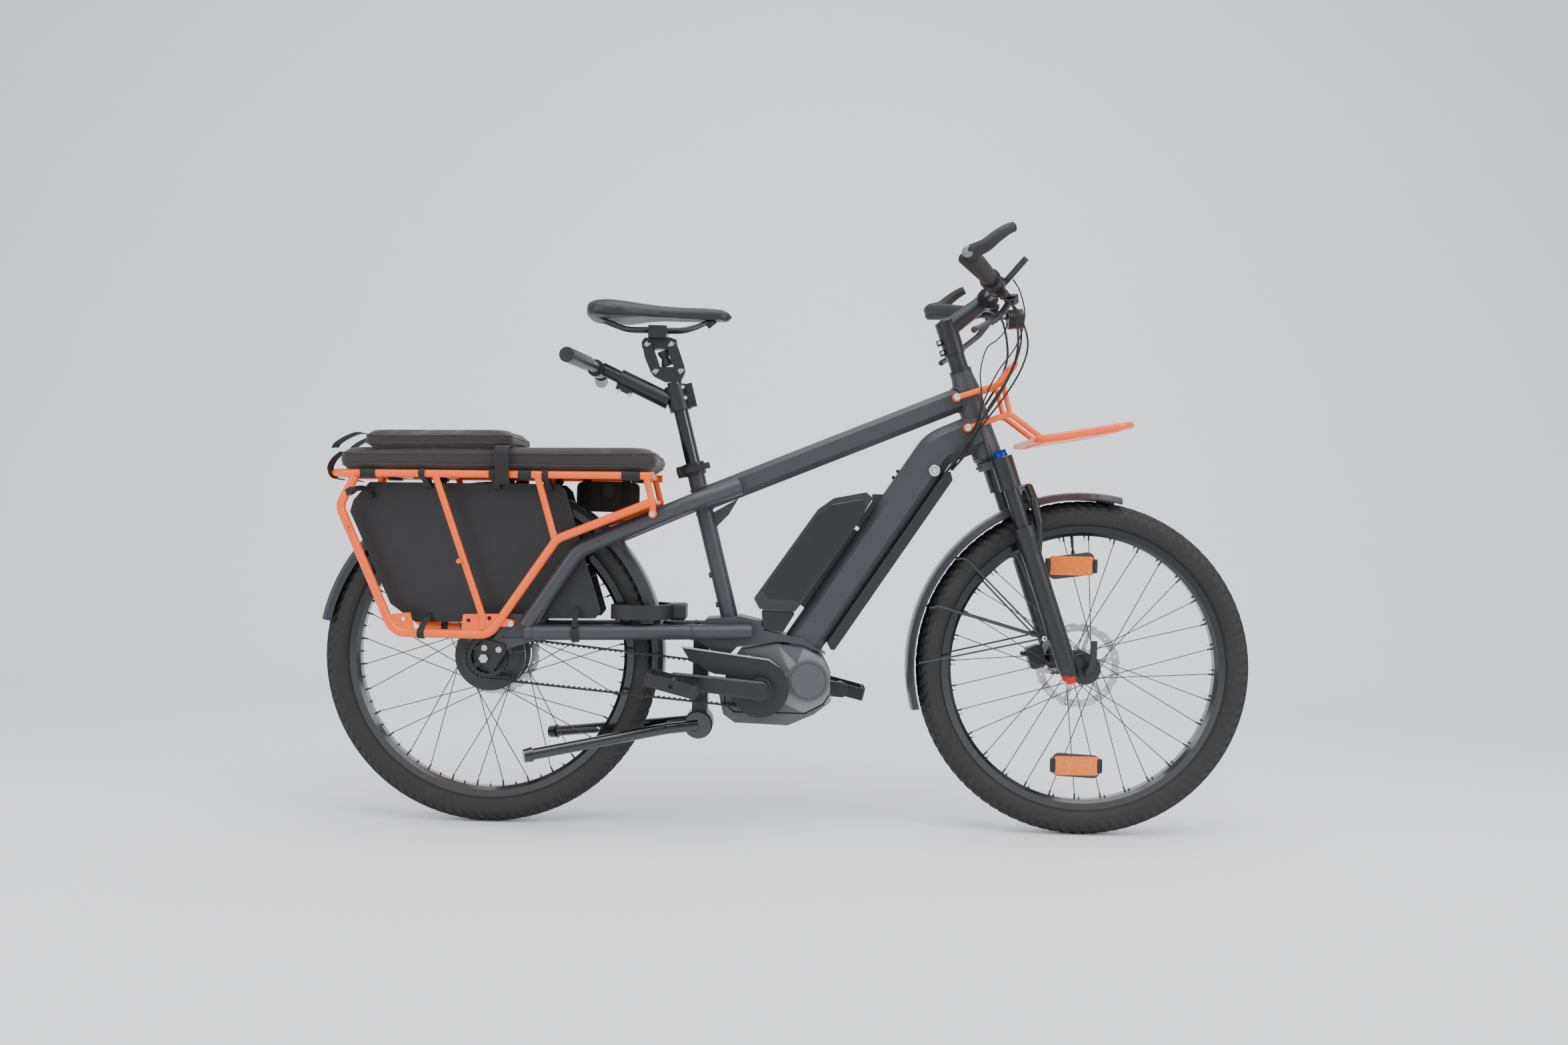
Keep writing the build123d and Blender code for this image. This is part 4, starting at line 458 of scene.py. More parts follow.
def closed_grid(points, flip=False):
    """Vertices and faces of a grid that is round in its second direction, closed by two lids."""
    rows, columns = points.shape[:2]
    faces = [tuple(face) for face in wrap(points, False, True, flip=flip)]
    flat, fan = lid(points.reshape(-1, 3), list(range(columns)), flip)
    faces += fan
    flat, fan = lid(flat, list(range((rows - 1) * columns, rows * columns)), not flip)
    return flat, faces + fan


def tube(path, radius, sides=12, closed=False, up=(0.0, 1.0, 0.0)):
    """A round tube: points p(s) + r (cos a * n + sin a * b), with n and b square to the path."""
    path = np.asarray(path, float)
    if closed:
        run = np.roll(path, -1, 0) - np.roll(path, 1, 0)
    else:
        run = np.gradient(path, axis=0)
    run /= np.linalg.norm(run, axis=1, keepdims=True)
    side = np.cross(run, np.asarray(up, float))
    side /= np.linalg.norm(side, axis=1, keepdims=True)
    top = np.cross(side, run)
    angle = np.linspace(0, 2 * np.pi, sides, endpoint=False)
    radius = np.broadcast_to(np.asarray(radius, float), (len(path),))[:, None, None]
    cos, sin = np.cos(angle)[None, :, None], np.sin(angle)[None, :, None]
    points = path[:, None] + radius * (cos * side[:, None] + sin * top[:, None])
    if closed:
        return points.reshape(-1, 3), wrap(points, True, True)
    return closed_grid(points)


def smooth_line(points, count):
    """A smooth line through a few points: Catmull-Rom curve, evaluated at equal steps."""
    points = np.asarray(points, float)
    ends = np.vstack([2 * points[0] - points[1], points, 2 * points[-1] - points[-2]])
    place = np.linspace(0, len(points) - 1, count)
    index = np.clip(place.astype(int), 0, len(points) - 2)
    t = (place - index)[:, None]
    a, b, c, d = (ends[index + k] for k in range(4))
    return 0.5 * (2 * b + (c - a) * t + (2 * a - 5 * b + 4 * c - d) * t ** 2
                  + (3 * b - a - 3 * c + d) * t ** 3)


def step(value, low, high):
    """Smooth step from 0 to 1."""
    t = np.clip((value - low) / (high - low), 0, 1)
    return t * t * (3 - 2 * t)


def push_mm(parts):
    """Parts given in millimetres, in metres."""
    return [(np.asarray(points, float).reshape(-1, 3) * MM, faces) for points, faces in parts]


def piece_mm(name, parts, body, finish, **more):
    return new_piece(name, push_mm(parts), body, finish, **more)


def unit(vector):
    vector = np.asarray(vector, float)
    return vector / np.linalg.norm(vector)


def square_to(direction):
    """Two directions square to one and to each other."""
    direction = unit(direction)
    guess = np.array([0.0, 1.0, 0.0]) if abs(direction[1]) < 0.8 else np.array([1.0, 0.0, 0.0])
    first = unit(np.cross(direction, guess))
    return first, np.cross(direction, first)


# ------------------------------------------------------------------ tyres
def tyre_surface(axle, radius, section, depth, blocks):
    """Tyre: p(a, b) = axle + (R + h cos b)(cos a, 0, sin a) + h sin b (0, 1, 0).

    a goes round the wheel, b round the section, R is the middle of the section, and h is the
    section's radius less the grooves.  Grooves cut the tread, |b| < 1.25, into a middle row and two
    rows of shoulder blocks.
    """
    rows, columns = blocks * 6, 88
    a = np.linspace(0, 2 * np.pi, rows, endpoint=False)[:, None]
    b = np.linspace(-np.pi, np.pi, columns, endpoint=False)[None, :]
    turn = a * blocks / (2 * np.pi)
    middle = np.abs(b) < 0.34
    lean = np.where(middle, 0.5 * np.abs(b) / 0.34, 0.9 * np.abs(b))
    place = np.mod(turn + lean + np.where(middle, 0.5, 0.0), 1.0)
    across = step(place, 0.60, 0.68) * (1 - step(place, 0.92, 1.0))
    off = np.abs(b)
    along = (1 - step(np.abs(off - 0.36), 0.02, 0.07)) + (1 - step(np.abs(off - 0.8), 0.02, 0.06))
    tread = 1 - step(np.abs(b), 1.15, 1.3)
    cut = np.maximum(across, along) * tread
    shoulder = step(np.abs(b), 1.22, 1.27) * (1 - step(np.abs(b), 1.5, 1.56))
    knob = shoulder * (1 - step(np.abs(place - 0.3), 0.18, 0.26))
    ribs = (0.5 * (1 - step(np.abs(off - 1.98), 0.02, 0.06))
            + 0.8 * (1 - step(np.abs(off - 2.3), 0.03, 0.08)))
    height = section - depth * cut + 0.5 * depth * knob + 0.0006 * ribs - 0.0008 * step(off, 1.25, 1.35)
    middle_radius = radius - section
    out = middle_radius + height * np.cos(b)
    points = np.stack([axle[0] + out * np.cos(a), axle[1] + height * np.sin(b) + 0 * a,
                       axle[2] + out * np.sin(a)], -1)
    return points.reshape(-1, 3), wrap(points, True, True, flip=True)


def make_tyres():
    sizes = bpy.context.scene.bicycle_sizes
    for name, axle, body in (("front_tyre", FRONT_AXLE, "front_wheel"),
                             ("rear_tyre", REAR_AXLE, "rear_wheel")):
        part = tyre_surface(axle, sizes.tyre_radius, sizes.tyre_section, sizes.tread_depth,
                            sizes.tread_blocks)
        obj = new_piece(name + "_tread", [part], body, "tyre_rubber")
        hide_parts(name)


# ------------------------------------------------------------------ cushions
def swell(obj, limit, pressure=4.0):
    """Pumps a cushion up as cloth, then holds every point within a limit of where it was."""
    start = np.empty(len(obj.data.vertices) * 3)
    obj.data.vertices.foreach_get("co", start)
    cloth = obj.modifiers.new("Cloth", "CLOTH")
    cloth.settings.use_pressure = True
    cloth.settings.uniform_pressure_force = pressure
    cloth.settings.effector_weights.gravity = 0.0
    cloth.settings.quality = 4
    cloth.settings.mass = 0.3
    cloth.settings.tension_stiffness = 18
    cloth.settings.compression_stiffness = 18
    cloth.settings.bending_stiffness = 0.6
    cloth.point_cache.frame_end = 20
    scene = bpy.context.scene
    for number in range(1, 21):
        scene.frame_set(number)
    held = obj.evaluated_get(bpy.context.evaluated_depsgraph_get())
    mesh = bpy.data.meshes.new_from_object(held)
    moved = np.empty(len(mesh.vertices) * 3)
    mesh.vertices.foreach_get("co", moved)
    obj.modifiers.remove(cloth)
    scene.frame_set(1)
    start, moved = start.reshape(-1, 3), moved.reshape(-1, 3)
    shift = moved - start
    length = np.linalg.norm(shift, axis=1, keepdims=True)
    shift *= np.minimum(1, limit / np.maximum(length, 1e-9))
    obj.data.vertices.foreach_set("co", (start + shift).ravel())
    obj.data.update()


def apply_modifiers(obj):
    """Leaves an object with the mesh that its modifiers make."""
    shown = obj.evaluated_get(bpy.context.evaluated_depsgraph_get())
    mesh = bpy.data.meshes.new_from_object(shown)
    obj.modifiers.clear()
    obj.data = mesh


def pad_mesh(low, high, half_width, bottom, top, nose):
    """Upholstered block before it is pumped: rounded section carried along X.

    p(s, a) = (x(s), w(s) sgn(cos a)|cos a|^q, m + d sgn(sin a)|sin a|^q): a flattened round section
    whose half width w and half depth d shrink in a quarter round at each end.
    """
    s = np.linspace(0, 1, 90)[:, None]
    a = np.linspace(0, 2 * np.pi, 72, endpoint=False)[None, :]
    end = np.minimum(s, 1 - s) * (high - low)
    x = low + s * (high - low)
    blunt = np.sqrt(np.clip(1 - (1 - np.clip(end / 14.0, 0, 1)) ** 2, 0, 1))
    front = np.where(s > 0.5, np.sqrt(np.clip(1 - (1 - np.clip(end / nose, 0, 1)) ** 2, 0, 1)), 1)
    power = 0.3
    cos, sin = np.cos(a), np.sin(a)
    wide = np.sign(cos) * np.abs(cos) ** power
    tall = np.sign(sin) * np.abs(sin) ** power
    y = (half_width - 10 * (1 - blunt)) * wide
    middle = (top(x) + bottom(x)) / 2
    depth = (top(x) - bottom(x)) / 2 * (0.35 + 0.65 * blunt) * (0.55 + 0.45 * front)
    z = middle + depth * tall
    points = np.stack([x + 0 * a, y + 0 * x, z], -1)
    flat, faces = closed_grid(points)
    return flat * MM, faces


def face_out(obj):
    """Turns every face of a closed mesh outward."""
    work = bmesh.new()
    work.from_mesh(obj.data)
    bmesh.ops.recalc_face_normals(work, faces=work.faces)
    work.to_mesh(obj.data)
    work.free()


def cushion(name, part, node, body, finish, limit, voxel=0.005):
    """A stuffed piece: remeshed, pumped up and smoothed."""
    obj = new_piece(name, [part], None, finish)
    face_out(obj)
    remesh = obj.modifiers.new("Remesh", "REMESH")
    remesh.mode = "VOXEL"
    remesh.voxel_size = voxel
    remesh.use_smooth_shade = True
    apply_modifiers(obj)
    swell(obj, limit)
    smooth = obj.modifiers.new("Smooth", "SUBSURF")
    smooth.levels = smooth.render_levels = 1
    apply_modifiers(obj)
    dress(obj, finish)
    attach(obj, body)
    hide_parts(node)
    return obj


def on_surface(obj, path, lift=0.0):
    """Points of a path in mm moved onto an object's surface."""
    tree = BVHTree.FromObject(obj, bpy.context.evaluated_depsgraph_get())
    found = []
    for point in np.asarray(path, float) * MM:
        spot, normal, _, _ = tree.find_nearest(Vector(point))
        found.append(np.array(spot) / MM + lift * np.array(normal))
    return np.array(found)


def ring_path(low, high, half_width, height, count=260):
    """Closed rounded rectangle seen from above, at a height that may follow x."""
    turn = np.linspace(0, 2 * np.pi, count, endpoint=False)
    mid, half = (low + high) / 2, (high - low) / 2
    cos, sin = np.cos(turn), np.sin(turn)
    scale = (np.abs(cos) ** 14 + np.abs(sin) ** 14) ** (-1 / 14)
    x = mid + half * cos * scale
    y = half_width * sin * scale
    return np.stack([x, y, height(x)], -1)


def pad_top(x):
    return 772 + (x + 918) * 0.0196


def rail_z(x):
    return 722 + (x + 931) * 8 / 661


def make_pads():
    sizes = bpy.context.scene.bicycle_sizes
    limit, pipe = sizes.pad_swell, sizes.piping / MM
    low = pad_mesh(-915, -259, 108, lambda x: rail_z(x) + 11, lambda x: pad_top(x) - 3, 60)
    long_pad = cushion("seat_pad_long_cover", low, "seat_pad_long", "frame", "pad_cloth", limit)
    up = pad_mesh(-865, -554, 106, lambda x: pad_top(x) + 5, lambda x: pad_top(x) + 33, 45)
    upper_pad = cushion("seat_pad_upper_cover", up, "seat_pad_upper", "frame", "pad_cloth", limit)
    lines = []
    for pad, ends, half, heights in (
            (long_pad, (-912, -262), 106, (lambda x: pad_top(x) - 9, lambda x: rail_z(x) + 16)),
            (upper_pad, (-862, -557), 104, (lambda x: pad_top(x) + 28, lambda x: pad_top(x) + 9))):
        for height in heights:
            path = on_surface(pad, ring_path(*ends, half, height), 0.2)
            lines.append(tube(path, pipe * 0.75, 8, closed=True, up=(0, 0, 1)))
    piece_mm("pad_piping", lines, "frame", "pad_cloth")
    return long_pad, upper_pad


# ------------------------------------------------------------------ saddle
def saddle_surface():
    """Saddle: p(s, a), s from tail to nose, a round the section.

    y = w(s) sgn(cos a)|cos a|^0.62; z = m(s) + t(s)|sin a|^0.8 above the middle and
    m(s) - u(s)|sin a|^0.9 below it.  w, the top line and the skirt line are smooth curves through
    a few stations.
    """
    stations = np.array([0, 0.008, 0.03, 0.08, 0.16, 0.27, 0.40, 0.52, 0.66, 0.82, 0.93, 0.975, 1.0])
    width = np.array([2, 34, 62, 76, 81, 74, 54, 37, 27, 23, 20, 13, 1.5])
    top = np.array([1076, 1086, 1092, 1097, 1099, 1096.5, 1092, 1089.5, 1088.5, 1089, 1087, 1082, 1074])
    skirt = np.array([1070, 1064, 1059, 1054, 1051, 1052, 1057, 1058.5, 1057, 1056.5, 1058, 1062, 1070])
    s = 0.5 - 0.5 * np.cos(np.linspace(0, np.pi, 120))
    w = np.interp(s, stations, width)
    high = np.interp(s, stations, top)
    low = np.interp(s, stations, skirt)
    soft = np.array([1, 4, 6, 4, 1]) / 16
    for _ in range(2):
        w[2:-2], high[2:-2], low[2:-2] = (np.convolve(v, soft, "valid") for v in (w, high, low))
    a = np.linspace(0, 2 * np.pi, 80, endpoint=False)[None, :]
    x = (-427 + 304 * s)[:, None]
    cos, sin = np.cos(a), np.sin(a)
    y = w[:, None] * np.sign(cos) * np.abs(cos) ** 0.62
    middle = (low + 0.35 * (high - low))[:, None]
    up = (high[:, None] - middle) * np.abs(sin) ** 0.8
    dip = 2.2 * np.exp(-(y / 14) ** 2) * step(s, 0.05, 0.2)[:, None] * (sin > 0)
    down = (middle - low[:, None]) * np.abs(sin) ** 0.9
    inside = (step(s, 0.03, 0.12) * (1 - step(s, 0.9, 0.97)))[:, None]
    hollow = 7 * (1 - (np.abs(y) / w[:, None]) ** 2) * inside
    z = middle + np.where(sin > 0, up - dip, -down + hollow * (np.abs(sin) > 0.5))
    points = np.stack([x + 0 * a, y, z], -1)
    return closed_grid(points)


def make_saddle():
    cover = piece_mm("saddle_cover", [saddle_surface()], None, "saddle_vinyl")
    face_out(cover)
    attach(cover, "seat")
    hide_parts("saddle")
    rails, seams = [], []
    for side in (-1, 1):
        line = smooth_line([(-402, side * 34, 1062), (-372, side * 28, 1050), (-340, side * 22, 1040.5),
                            (-290, side * 22, 1040), (-235, side * 22, 1040),
                            (-205, side * 17, 1046), (-172, side * 8, 1060)], 60)
        rails.append(tube(line, 3.5, 14))
        seam = smooth_line([(-392, side * 72, 1098), (-350, side * 80, 1076),
                            (-318, side * 70, 1060)], 30)
        seams.append(tube(on_surface(cover, seam, 0.1), 0.5, 6))
    clips = [tube([(-398, -44, 1058), (-398, 44, 1058)], 6.5, 14),
             tube([(-176, 0, 1052), (-160, 0, 1066)], 9, 14)]
    piece_mm("saddle_rails", rails, "seat", "gloss_black")
    piece_mm("saddle_seams", seams, "seat", "stitch_thread")
    piece_mm("saddle_sockets", clips, "seat", "black_plastic")


# ------------------------------------------------------------------ cables
def make_cables():
    """Smooth hoses and cables that run between the fork and the frame."""
    runs = (
        ("brake_hose_near", 2.5, [(447.4, -94.4, 1101.7), (462, -78, 1082), (470, -62, 1010),
                                  (452, -56, 950), (410, -56, 880), (374, -52, 800), (342, -44, 757)]),
        ("brake_hose_far", 2.5, [(447.4, 94.4, 1101.7), (462, 78, 1082), (470, 62, 1010),
                                 (450, 56, 950), (410, 56, 880), (374, 52, 800), (342, 44, 757)]),
        ("gear_cable_one", 2.0, [(421.4, -180.8, 1092.8), (440, -168, 1078), (468, -110, 1034),
                                 (466, -72, 985), (440, -64, 925), (400, -63, 860), (362, -58, 800),
                                 (326, -45, 748)]),
        ("gear_cable_two", 2.0, [(425, -178, 1090), (452, -160, 1070), (482, -108, 1020),
                                 (478, -74, 972), (448, -60, 915), (405, -58.5, 856), (366, -54, 798),
                                 (328, -40, 750)]),
        ("display_lead", 1.5, [(464, -24, 1160), (478, -34, 1130), (486, -44, 1080), (470, -50, 1020),
                               (430, -52, 960), (404, -50, 900), (392, -48, 850), (360, -46, 790),
                               (340, -40, 757)]),
        ("lamp_lead", 1.4, [(456, -8, 1070), (448, -26, 1050), (430, -38, 1030), (408, -44, 1010),
                            (396, -48, 960), (400, -50, 900), (384, -48, 840), (352, -44, 780),
                            (334, -40, 755)]),
    )
    first = None
    for name, radius, points in runs:
        obj = piece_mm(name, [tube(smooth_line(points, 160), radius, 10)], None, "soft_rubber")
        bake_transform(obj)
        first = first or obj
    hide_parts("control_cables")


# ------------------------------------------------------------------ straps
def ribbon(path, width, thick, along=(1.0, 0.0, 0.0), closed=True):
    """A flat strap: a rounded flat section w by t carried along a path."""
    path = np.asarray(path, float)
    along = unit(along)
    run = (np.roll(path, -1, 0) - np.roll(path, 1, 0)) if closed else np.gradient(path, axis=0)
    run /= np.linalg.norm(run, axis=1, keepdims=True)
    out = np.cross(run, along)
    out /= np.linalg.norm(out, axis=1, keepdims=True)
    wide = np.cross(out, run)
    angle = np.linspace(0, 2 * np.pi, 16, endpoint=False)
    u = np.sign(np.cos(angle)) * np.abs(np.cos(angle)) ** 0.25 * width / 2
    v = np.sign(np.sin(angle)) * np.abs(np.sin(angle)) ** 0.6 * thick / 2
    points = path[:, None] + u[None, :, None] * wide[:, None] + v[None, :, None] * out[:, None]
    if closed:
        return points.reshape(-1, 3), wrap(points, True, True)
    return closed_grid(points)


def loop_line(points):
    """A smooth closed line through a few points."""
    points = np.asarray(points, float)
    round_points = np.vstack([points[-2:], points, points[:3]])
    line = smooth_line(round_points, (len(round_points) - 1) * 16 + 1)
    start = 2 * 16
    return line[start:start + len(points) * 16]


def rail_wrap(x, width, side=-1, radius=9.4):
    """Strap that goes once round a rack rail."""
    turn = np.linspace(0, 2 * np.pi, 40, endpoint=False)
    z = rail_z(x)
    over = np.minimum(radius * np.sin(turn), 7.4)
    path = np.stack([x + 0 * turn, side * RAIL_Y + radius * np.cos(turn), z + over], -1)
    return ribbon(path, width, 1.6)


def ring_strap(x, y, z, radius, width, thick):
    """Strap round a tube that runs along X."""
    turn = np.linspace(0, 2 * np.pi, 40, endpoint=False)
    path = np.stack([x + 0 * turn, y + radius * np.cos(turn), z + radius * np.sin(turn)], -1)
    return ribbon(path, width, thick)


def strap_end(points, count, width, thick, **more):
    """Open strap along a smooth line through a few points."""
    return ribbon(smooth_line(points, count), width, thick, closed=False, **more)


def make_straps():
    parts = []
    for side in (-1, 1):
        parts += [rail_wrap(-851.5, 31, side), rail_wrap(-532.5, 27, side), rail_wrap(-317, 38, side)]
        for x in (-741.8, -598.6, -491.2):
            z = rail_z(x)
            loop = [(x, side * 105, z), (x, side * 100, z + 8), (x, side * 92, z + 8.5),
                    (x + 1, side * 70, 722), (x + 1, side * 48, 709), (x + 1, side * 41.5, 703),
                    (x + 1, side * 44, 698), (x + 1, side * 52, 700), (x, side * 78, 712),
                    (x, side * 96, z - 9.6)]
            parts.append(ribbon(loop_line(loop), 13, 1.7))
            tail = [(x + 1, side * 50, 712), (x + 1, side * 50.5, 704), (x + 2, side * 49.5, 695)]
            parts.append(strap_end(tail, 14, 14.5, 2.2))
        x, z = -577, rail_z(-577)
        high = pad_top(x)
        wide = [(x, side * y, at) for y, at in (
            (60, high + 6), (104, high + 5), (115, high - 4), (116.5, 760), (114.5, 745), (108, z),
            (104, z - 14), (96, z - 20), (84, z - 12))]
        parts.append(strap_end(wide, 90, 29, 2.0))
        hoop = np.array([-879.6, side * RAIL_Y, 682.7])
        lean = unit((0.53, 0, -0.85))
        across = np.array([0.85, 0, 0.53])
        turn = np.linspace(0, 2 * np.pi, 40, endpoint=False)[:, None]
        centre = hoop + np.array([-8.0, 0, 2.0])
        path = centre + 10.4 * np.cos(turn) * across + 10.4 * np.sin(turn) * np.array([0, 1.0, 0])
        parts.append(ribbon(path, 13, 1.7, along=lean))
        tail = [centre + across * 10, (-866, side * 70, 692), (-858, side * 51, 682),
                (-852, side * 48, 676)]
        parts.append(strap_end(tail, 30, 12, 1.9, along=lean))
        parts.append(ring_strap(-736.6, side * RAIL_Y, 399, 10.3, 14, 1.7))
        tail = [(-736.6, side * RAIL_Y, 410.5), (-736, side * 74, 420), (-735, side * 52, 428),
                (-734, side * 49.5, 437)]
        parts.append(strap_end(tail, 30, 13, 1.8))
    parts.append(ring_strap(-426, -73.5, 404, 17.6, 15, 1.8))
    tie = [(-426, -90, 418), (-426.5, -82, 432), (-427, -62, 446), (-427.5, -50, 455)]
    parts.append(strap_end(tie, 30, 11, 1.8))
    straps = piece_mm("webbing_bands", parts, "frame", "webbing")
    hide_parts("webbing_straps")
    tails = []
    for side in (-1, 1):
        for points, width in (
                ([(-862, side * 58, 803), (-884, side * 58, 806), (-908, side * 57, 797),
                  (-928, side * 56, 784), (-934, side * 55, 775)], 40),
                ([(-916, side * 60, 766), (-932, side * 60, 752), (-941, side * 60, 733),
                  (-934, side * 60, 714), (-916, side * 60, 709)], 38)):
            tails.append(strap_end(points, 46, width, 2.4, along=(0, 1, 0)))
    piece_mm("rear_webbing_loops", tails, "frame", "webbing")
    make_pouch()


def bulge(centre, half, power=0.35, rows=48, columns=64):
    """A rounded block: p(s, a) = c + h (S(cos s) S(cos a), S(cos s) S(sin a), S(sin s)).

    S(v) = sgn v |v|^p, c is the centre and h the three half sizes.
    """
    s = np.linspace(-np.pi / 2, np.pi / 2, rows)[1:-1, None]
    a = np.linspace(0, 2 * np.pi, columns, endpoint=False)[None, :]

    def shaped(v):
        return np.sign(v) * np.abs(v) ** power

    x = centre[0] + half[0] * shaped(np.cos(s)) * shaped(np.cos(a))
    y = centre[1] + half[1] * shaped(np.cos(s)) * shaped(np.sin(a))
    z = centre[2] + half[2] * shaped(np.sin(s)) + 0 * a
    points = np.stack([x, y, z], -1)
    return closed_grid(points, flip=True)


def make_pouch():
    shell = bulge((-385, 75.5, 688), (68, 8.2, 33), 0.3)
    body = piece_mm("pouch_body", [shell], "frame", "pad_cloth")
    face_out(body)
    bands = [strap_end([(x, 66.2, 728), (x, 65.8, 700), (x, 66.0, 672)], 20, 18, 1.6)
             for x in (-430, -345)]
    piece_mm("pouch_bands", bands, "frame", "webbing")
    flap = [bulge((-385, 66.4, 702), (12, 1.6, 17), 0.3, 20, 32)]
    piece_mm("pouch_buckle", flap, "frame", "black_plastic")


# ------------------------------------------------------------------ welds, bolts and small parts
def onto_round(point, direction, radius):
    """Distance along a line to a round tube: |(p + t d - c) x n| = r, the nearer root."""
    point, direction = np.asarray(point, float), unit(direction)

    def reach(starts, way):
        side = np.cross(starts - point, direction)
        move = np.cross(way, direction)
        a = move @ move
        b = side @ move
        c = (side * side).sum(1) - radius ** 2
        return (-b - np.sqrt(np.maximum(b * b - a * c, 0))) / a

    return reach


def onto_flat(point, normal):
    """Distance along a line to a plane."""
    point, normal = np.asarray(point, float), unit(normal)
    return lambda starts, way: ((point - starts) @ normal) / (way @ normal)


def round_outline(start, direction, radius, count=120):
    """Circle of a round tube, as points square to its direction."""
    first, second = square_to(direction)
    turn = np.linspace(0, 2 * np.pi, count, endpoint=False)[:, None]
    return np.asarray(start, float) + radius * (np.cos(turn) * first + np.sin(turn) * second)


def box_outline(start, direction, width, depth, count=160):
    """Rounded box section of a frame tube: half sizes w, d with |y/w|^5 + |v/d|^5 = 1."""
    direction = unit(direction)
    across = np.array([0.0, 1.0, 0.0])
    up = np.cross(direction, across)
    turn = np.linspace(0, 2 * np.pi, count, endpoint=False)[:, None]
    cos, sin = np.cos(turn), np.sin(turn)
    scale = (np.abs(cos) ** 5 + np.abs(sin) ** 5) ** -0.2
    return np.asarray(start, float) + scale * (width / 2 * cos * across + depth / 2 * sin * up)


def weld(outline, direction, reach, bead):
    """A weld bead: ripples like stacked coins along the line where a tube meets another."""
    way = unit(direction)
    path = outline + reach(outline, way)[:, None] * way
    length = np.linalg.norm(np.roll(path, -1, 0) - path, axis=1)
    along = np.concatenate([[0], np.cumsum(length)])
    total = along[-1]
    count = int(total / 0.7)
    place = np.linspace(0, total, count, endpoint=False)
    wrapped = np.vstack([path, path[:1]])
    fine = np.stack([np.interp(place, along, wrapped[:, k]) for k in range(3)], -1)
    coins = max(6, round(total / 3.4))
    phase = np.mod(place / total * coins, 1.0)
    radius = bead * (0.82 + 0.2 * np.sqrt(1 - (phase - 0.35) ** 2 / 0.4225).clip(0, 1))
    return tube(fine, radius, 8, closed=True, up=way)


def steer_point(along, ahead=0.0, y=0.0):
    """Place given along and ahead of the steering axis, in mm."""
    return STEER_FOOT + along * STEER_DIR + ahead * np.array([0.94665, 0, 0.32227]) + (0, y, 0)


def make_welds():
    bead = bpy.context.scene.bicycle_sizes.weld / MM
    rise = math.radians(22.7)
    top_way = np.array([math.cos(rise), 0, math.sin(rise)])
    lift = np.array([-math.sin(rise), 0, math.cos(rise)])
    mid = np.array([0, 0, 699.7 / math.cos(rise)])
    drop = math.radians(56.5)
    down_way = np.array([math.cos(drop), 0, math.sin(drop)])
    down_up = np.array([-math.sin(drop), 0, math.cos(drop)])
    bend = 845 * down_way + 180 * down_up
    seat_way = np.array([-0.2521, 0, 0.9677])
    head = onto_round(STEER_FOOT, STEER_DIR, 28.5)
    welds = [weld(box_outline(mid + 150 * top_way, top_way, 46, 50), top_way, head, bead),
             weld(box_outline(bend - 60 * down_way, steer_point(520) - bend, 70, 78),
                  steer_point(520) - bend, head, bead)]
    seat = np.array([-171.6, 0, 662.5])
    welds.append(weld(round_outline(seat + 140 * seat_way, -seat_way, 18.3), -seat_way,
                      onto_flat(mid + 25 * lift, lift), bead * 0.85))
    welds.append(weld(round_outline(seat - 160 * seat_way, seat_way, 18.3), seat_way,
                      onto_flat(mid - 25 * lift, lift), bead * 0.85))
    for side in (-1, 1):
        stay = unit((92, side * 26, 34))
        welds.append(weld(round_outline((-190, side * 66, 680), stay, 17.6), stay,
                          onto_flat((-112, side * 22.5, 705), (0.1, side * -1.0, -0.15)), bead * 0.8))
        foot = unit((-105, side * -2, -158))
        welds.append(weld(round_outline((-470, side * 69, 508), foot, 17.6), foot,
                          onto_flat((-519, 0, 436), (0.55, 0, 0.84)), bead * 0.7))
        chain = unit((-360, side * 15, -8))
        welds.append(weld(round_outline((-300, side * 65.4, 408.1), chain, 15.9), chain,
                          onto_flat((-514, 0, 403), (1, 0, 0)), bead * 0.7))
        welds.append(weld(round_outline((-300, side * 65.4, 408.1), -chain, 15.9), -chain,
                          onto_flat((-188, 0, 410), (1, 0, 0)), bead * 0.7))
    obj = piece_mm("frame_welds", welds, "frame", "frame_paint")
    welds = []
    for side in (-1, 1):
        y = side * RAIL_Y
        for low, high in (((-612.9, 436), (-714.6, 719.7)), ((-468.9, 594), (-507.5, 724.4)),
                          ((-273, 677), (-286, 727))):
            start, end = np.array([low[0], y, low[1]]), np.array([high[0], y, high[1]])
            middle = (start + end) / 2
            rail_at = np.array([0, y, rail_z(0)])
            welds.append(weld(round_outline(middle, end - start, 7.1, 60), end - start,
                              onto_round(rail_at, (661, 0, 8), 8.0), 1.3))
        hoop = onto_round((-465, y, 597), (133, 0, 198), 9)
        for start, way, tube_radius, target in (
                ((-490, y, 665), (38.6, 0, -130), 7.1, hoop),
                ((-640, y, 512), (101.7, 0, -283), 7.1, onto_round((-700, y, 399), (1, 0, 0), 9)),
                ((-885, y, 690), (30, 0, 55), 9.1, onto_round((0, y, rail_z(0)), (661, 0, 8), 8))):
            welds.append(weld(round_outline(start, way, tube_radius, 60), way, target, 1.3))
    obj = piece_mm("rack_welds", welds, "frame", "rack_paint")


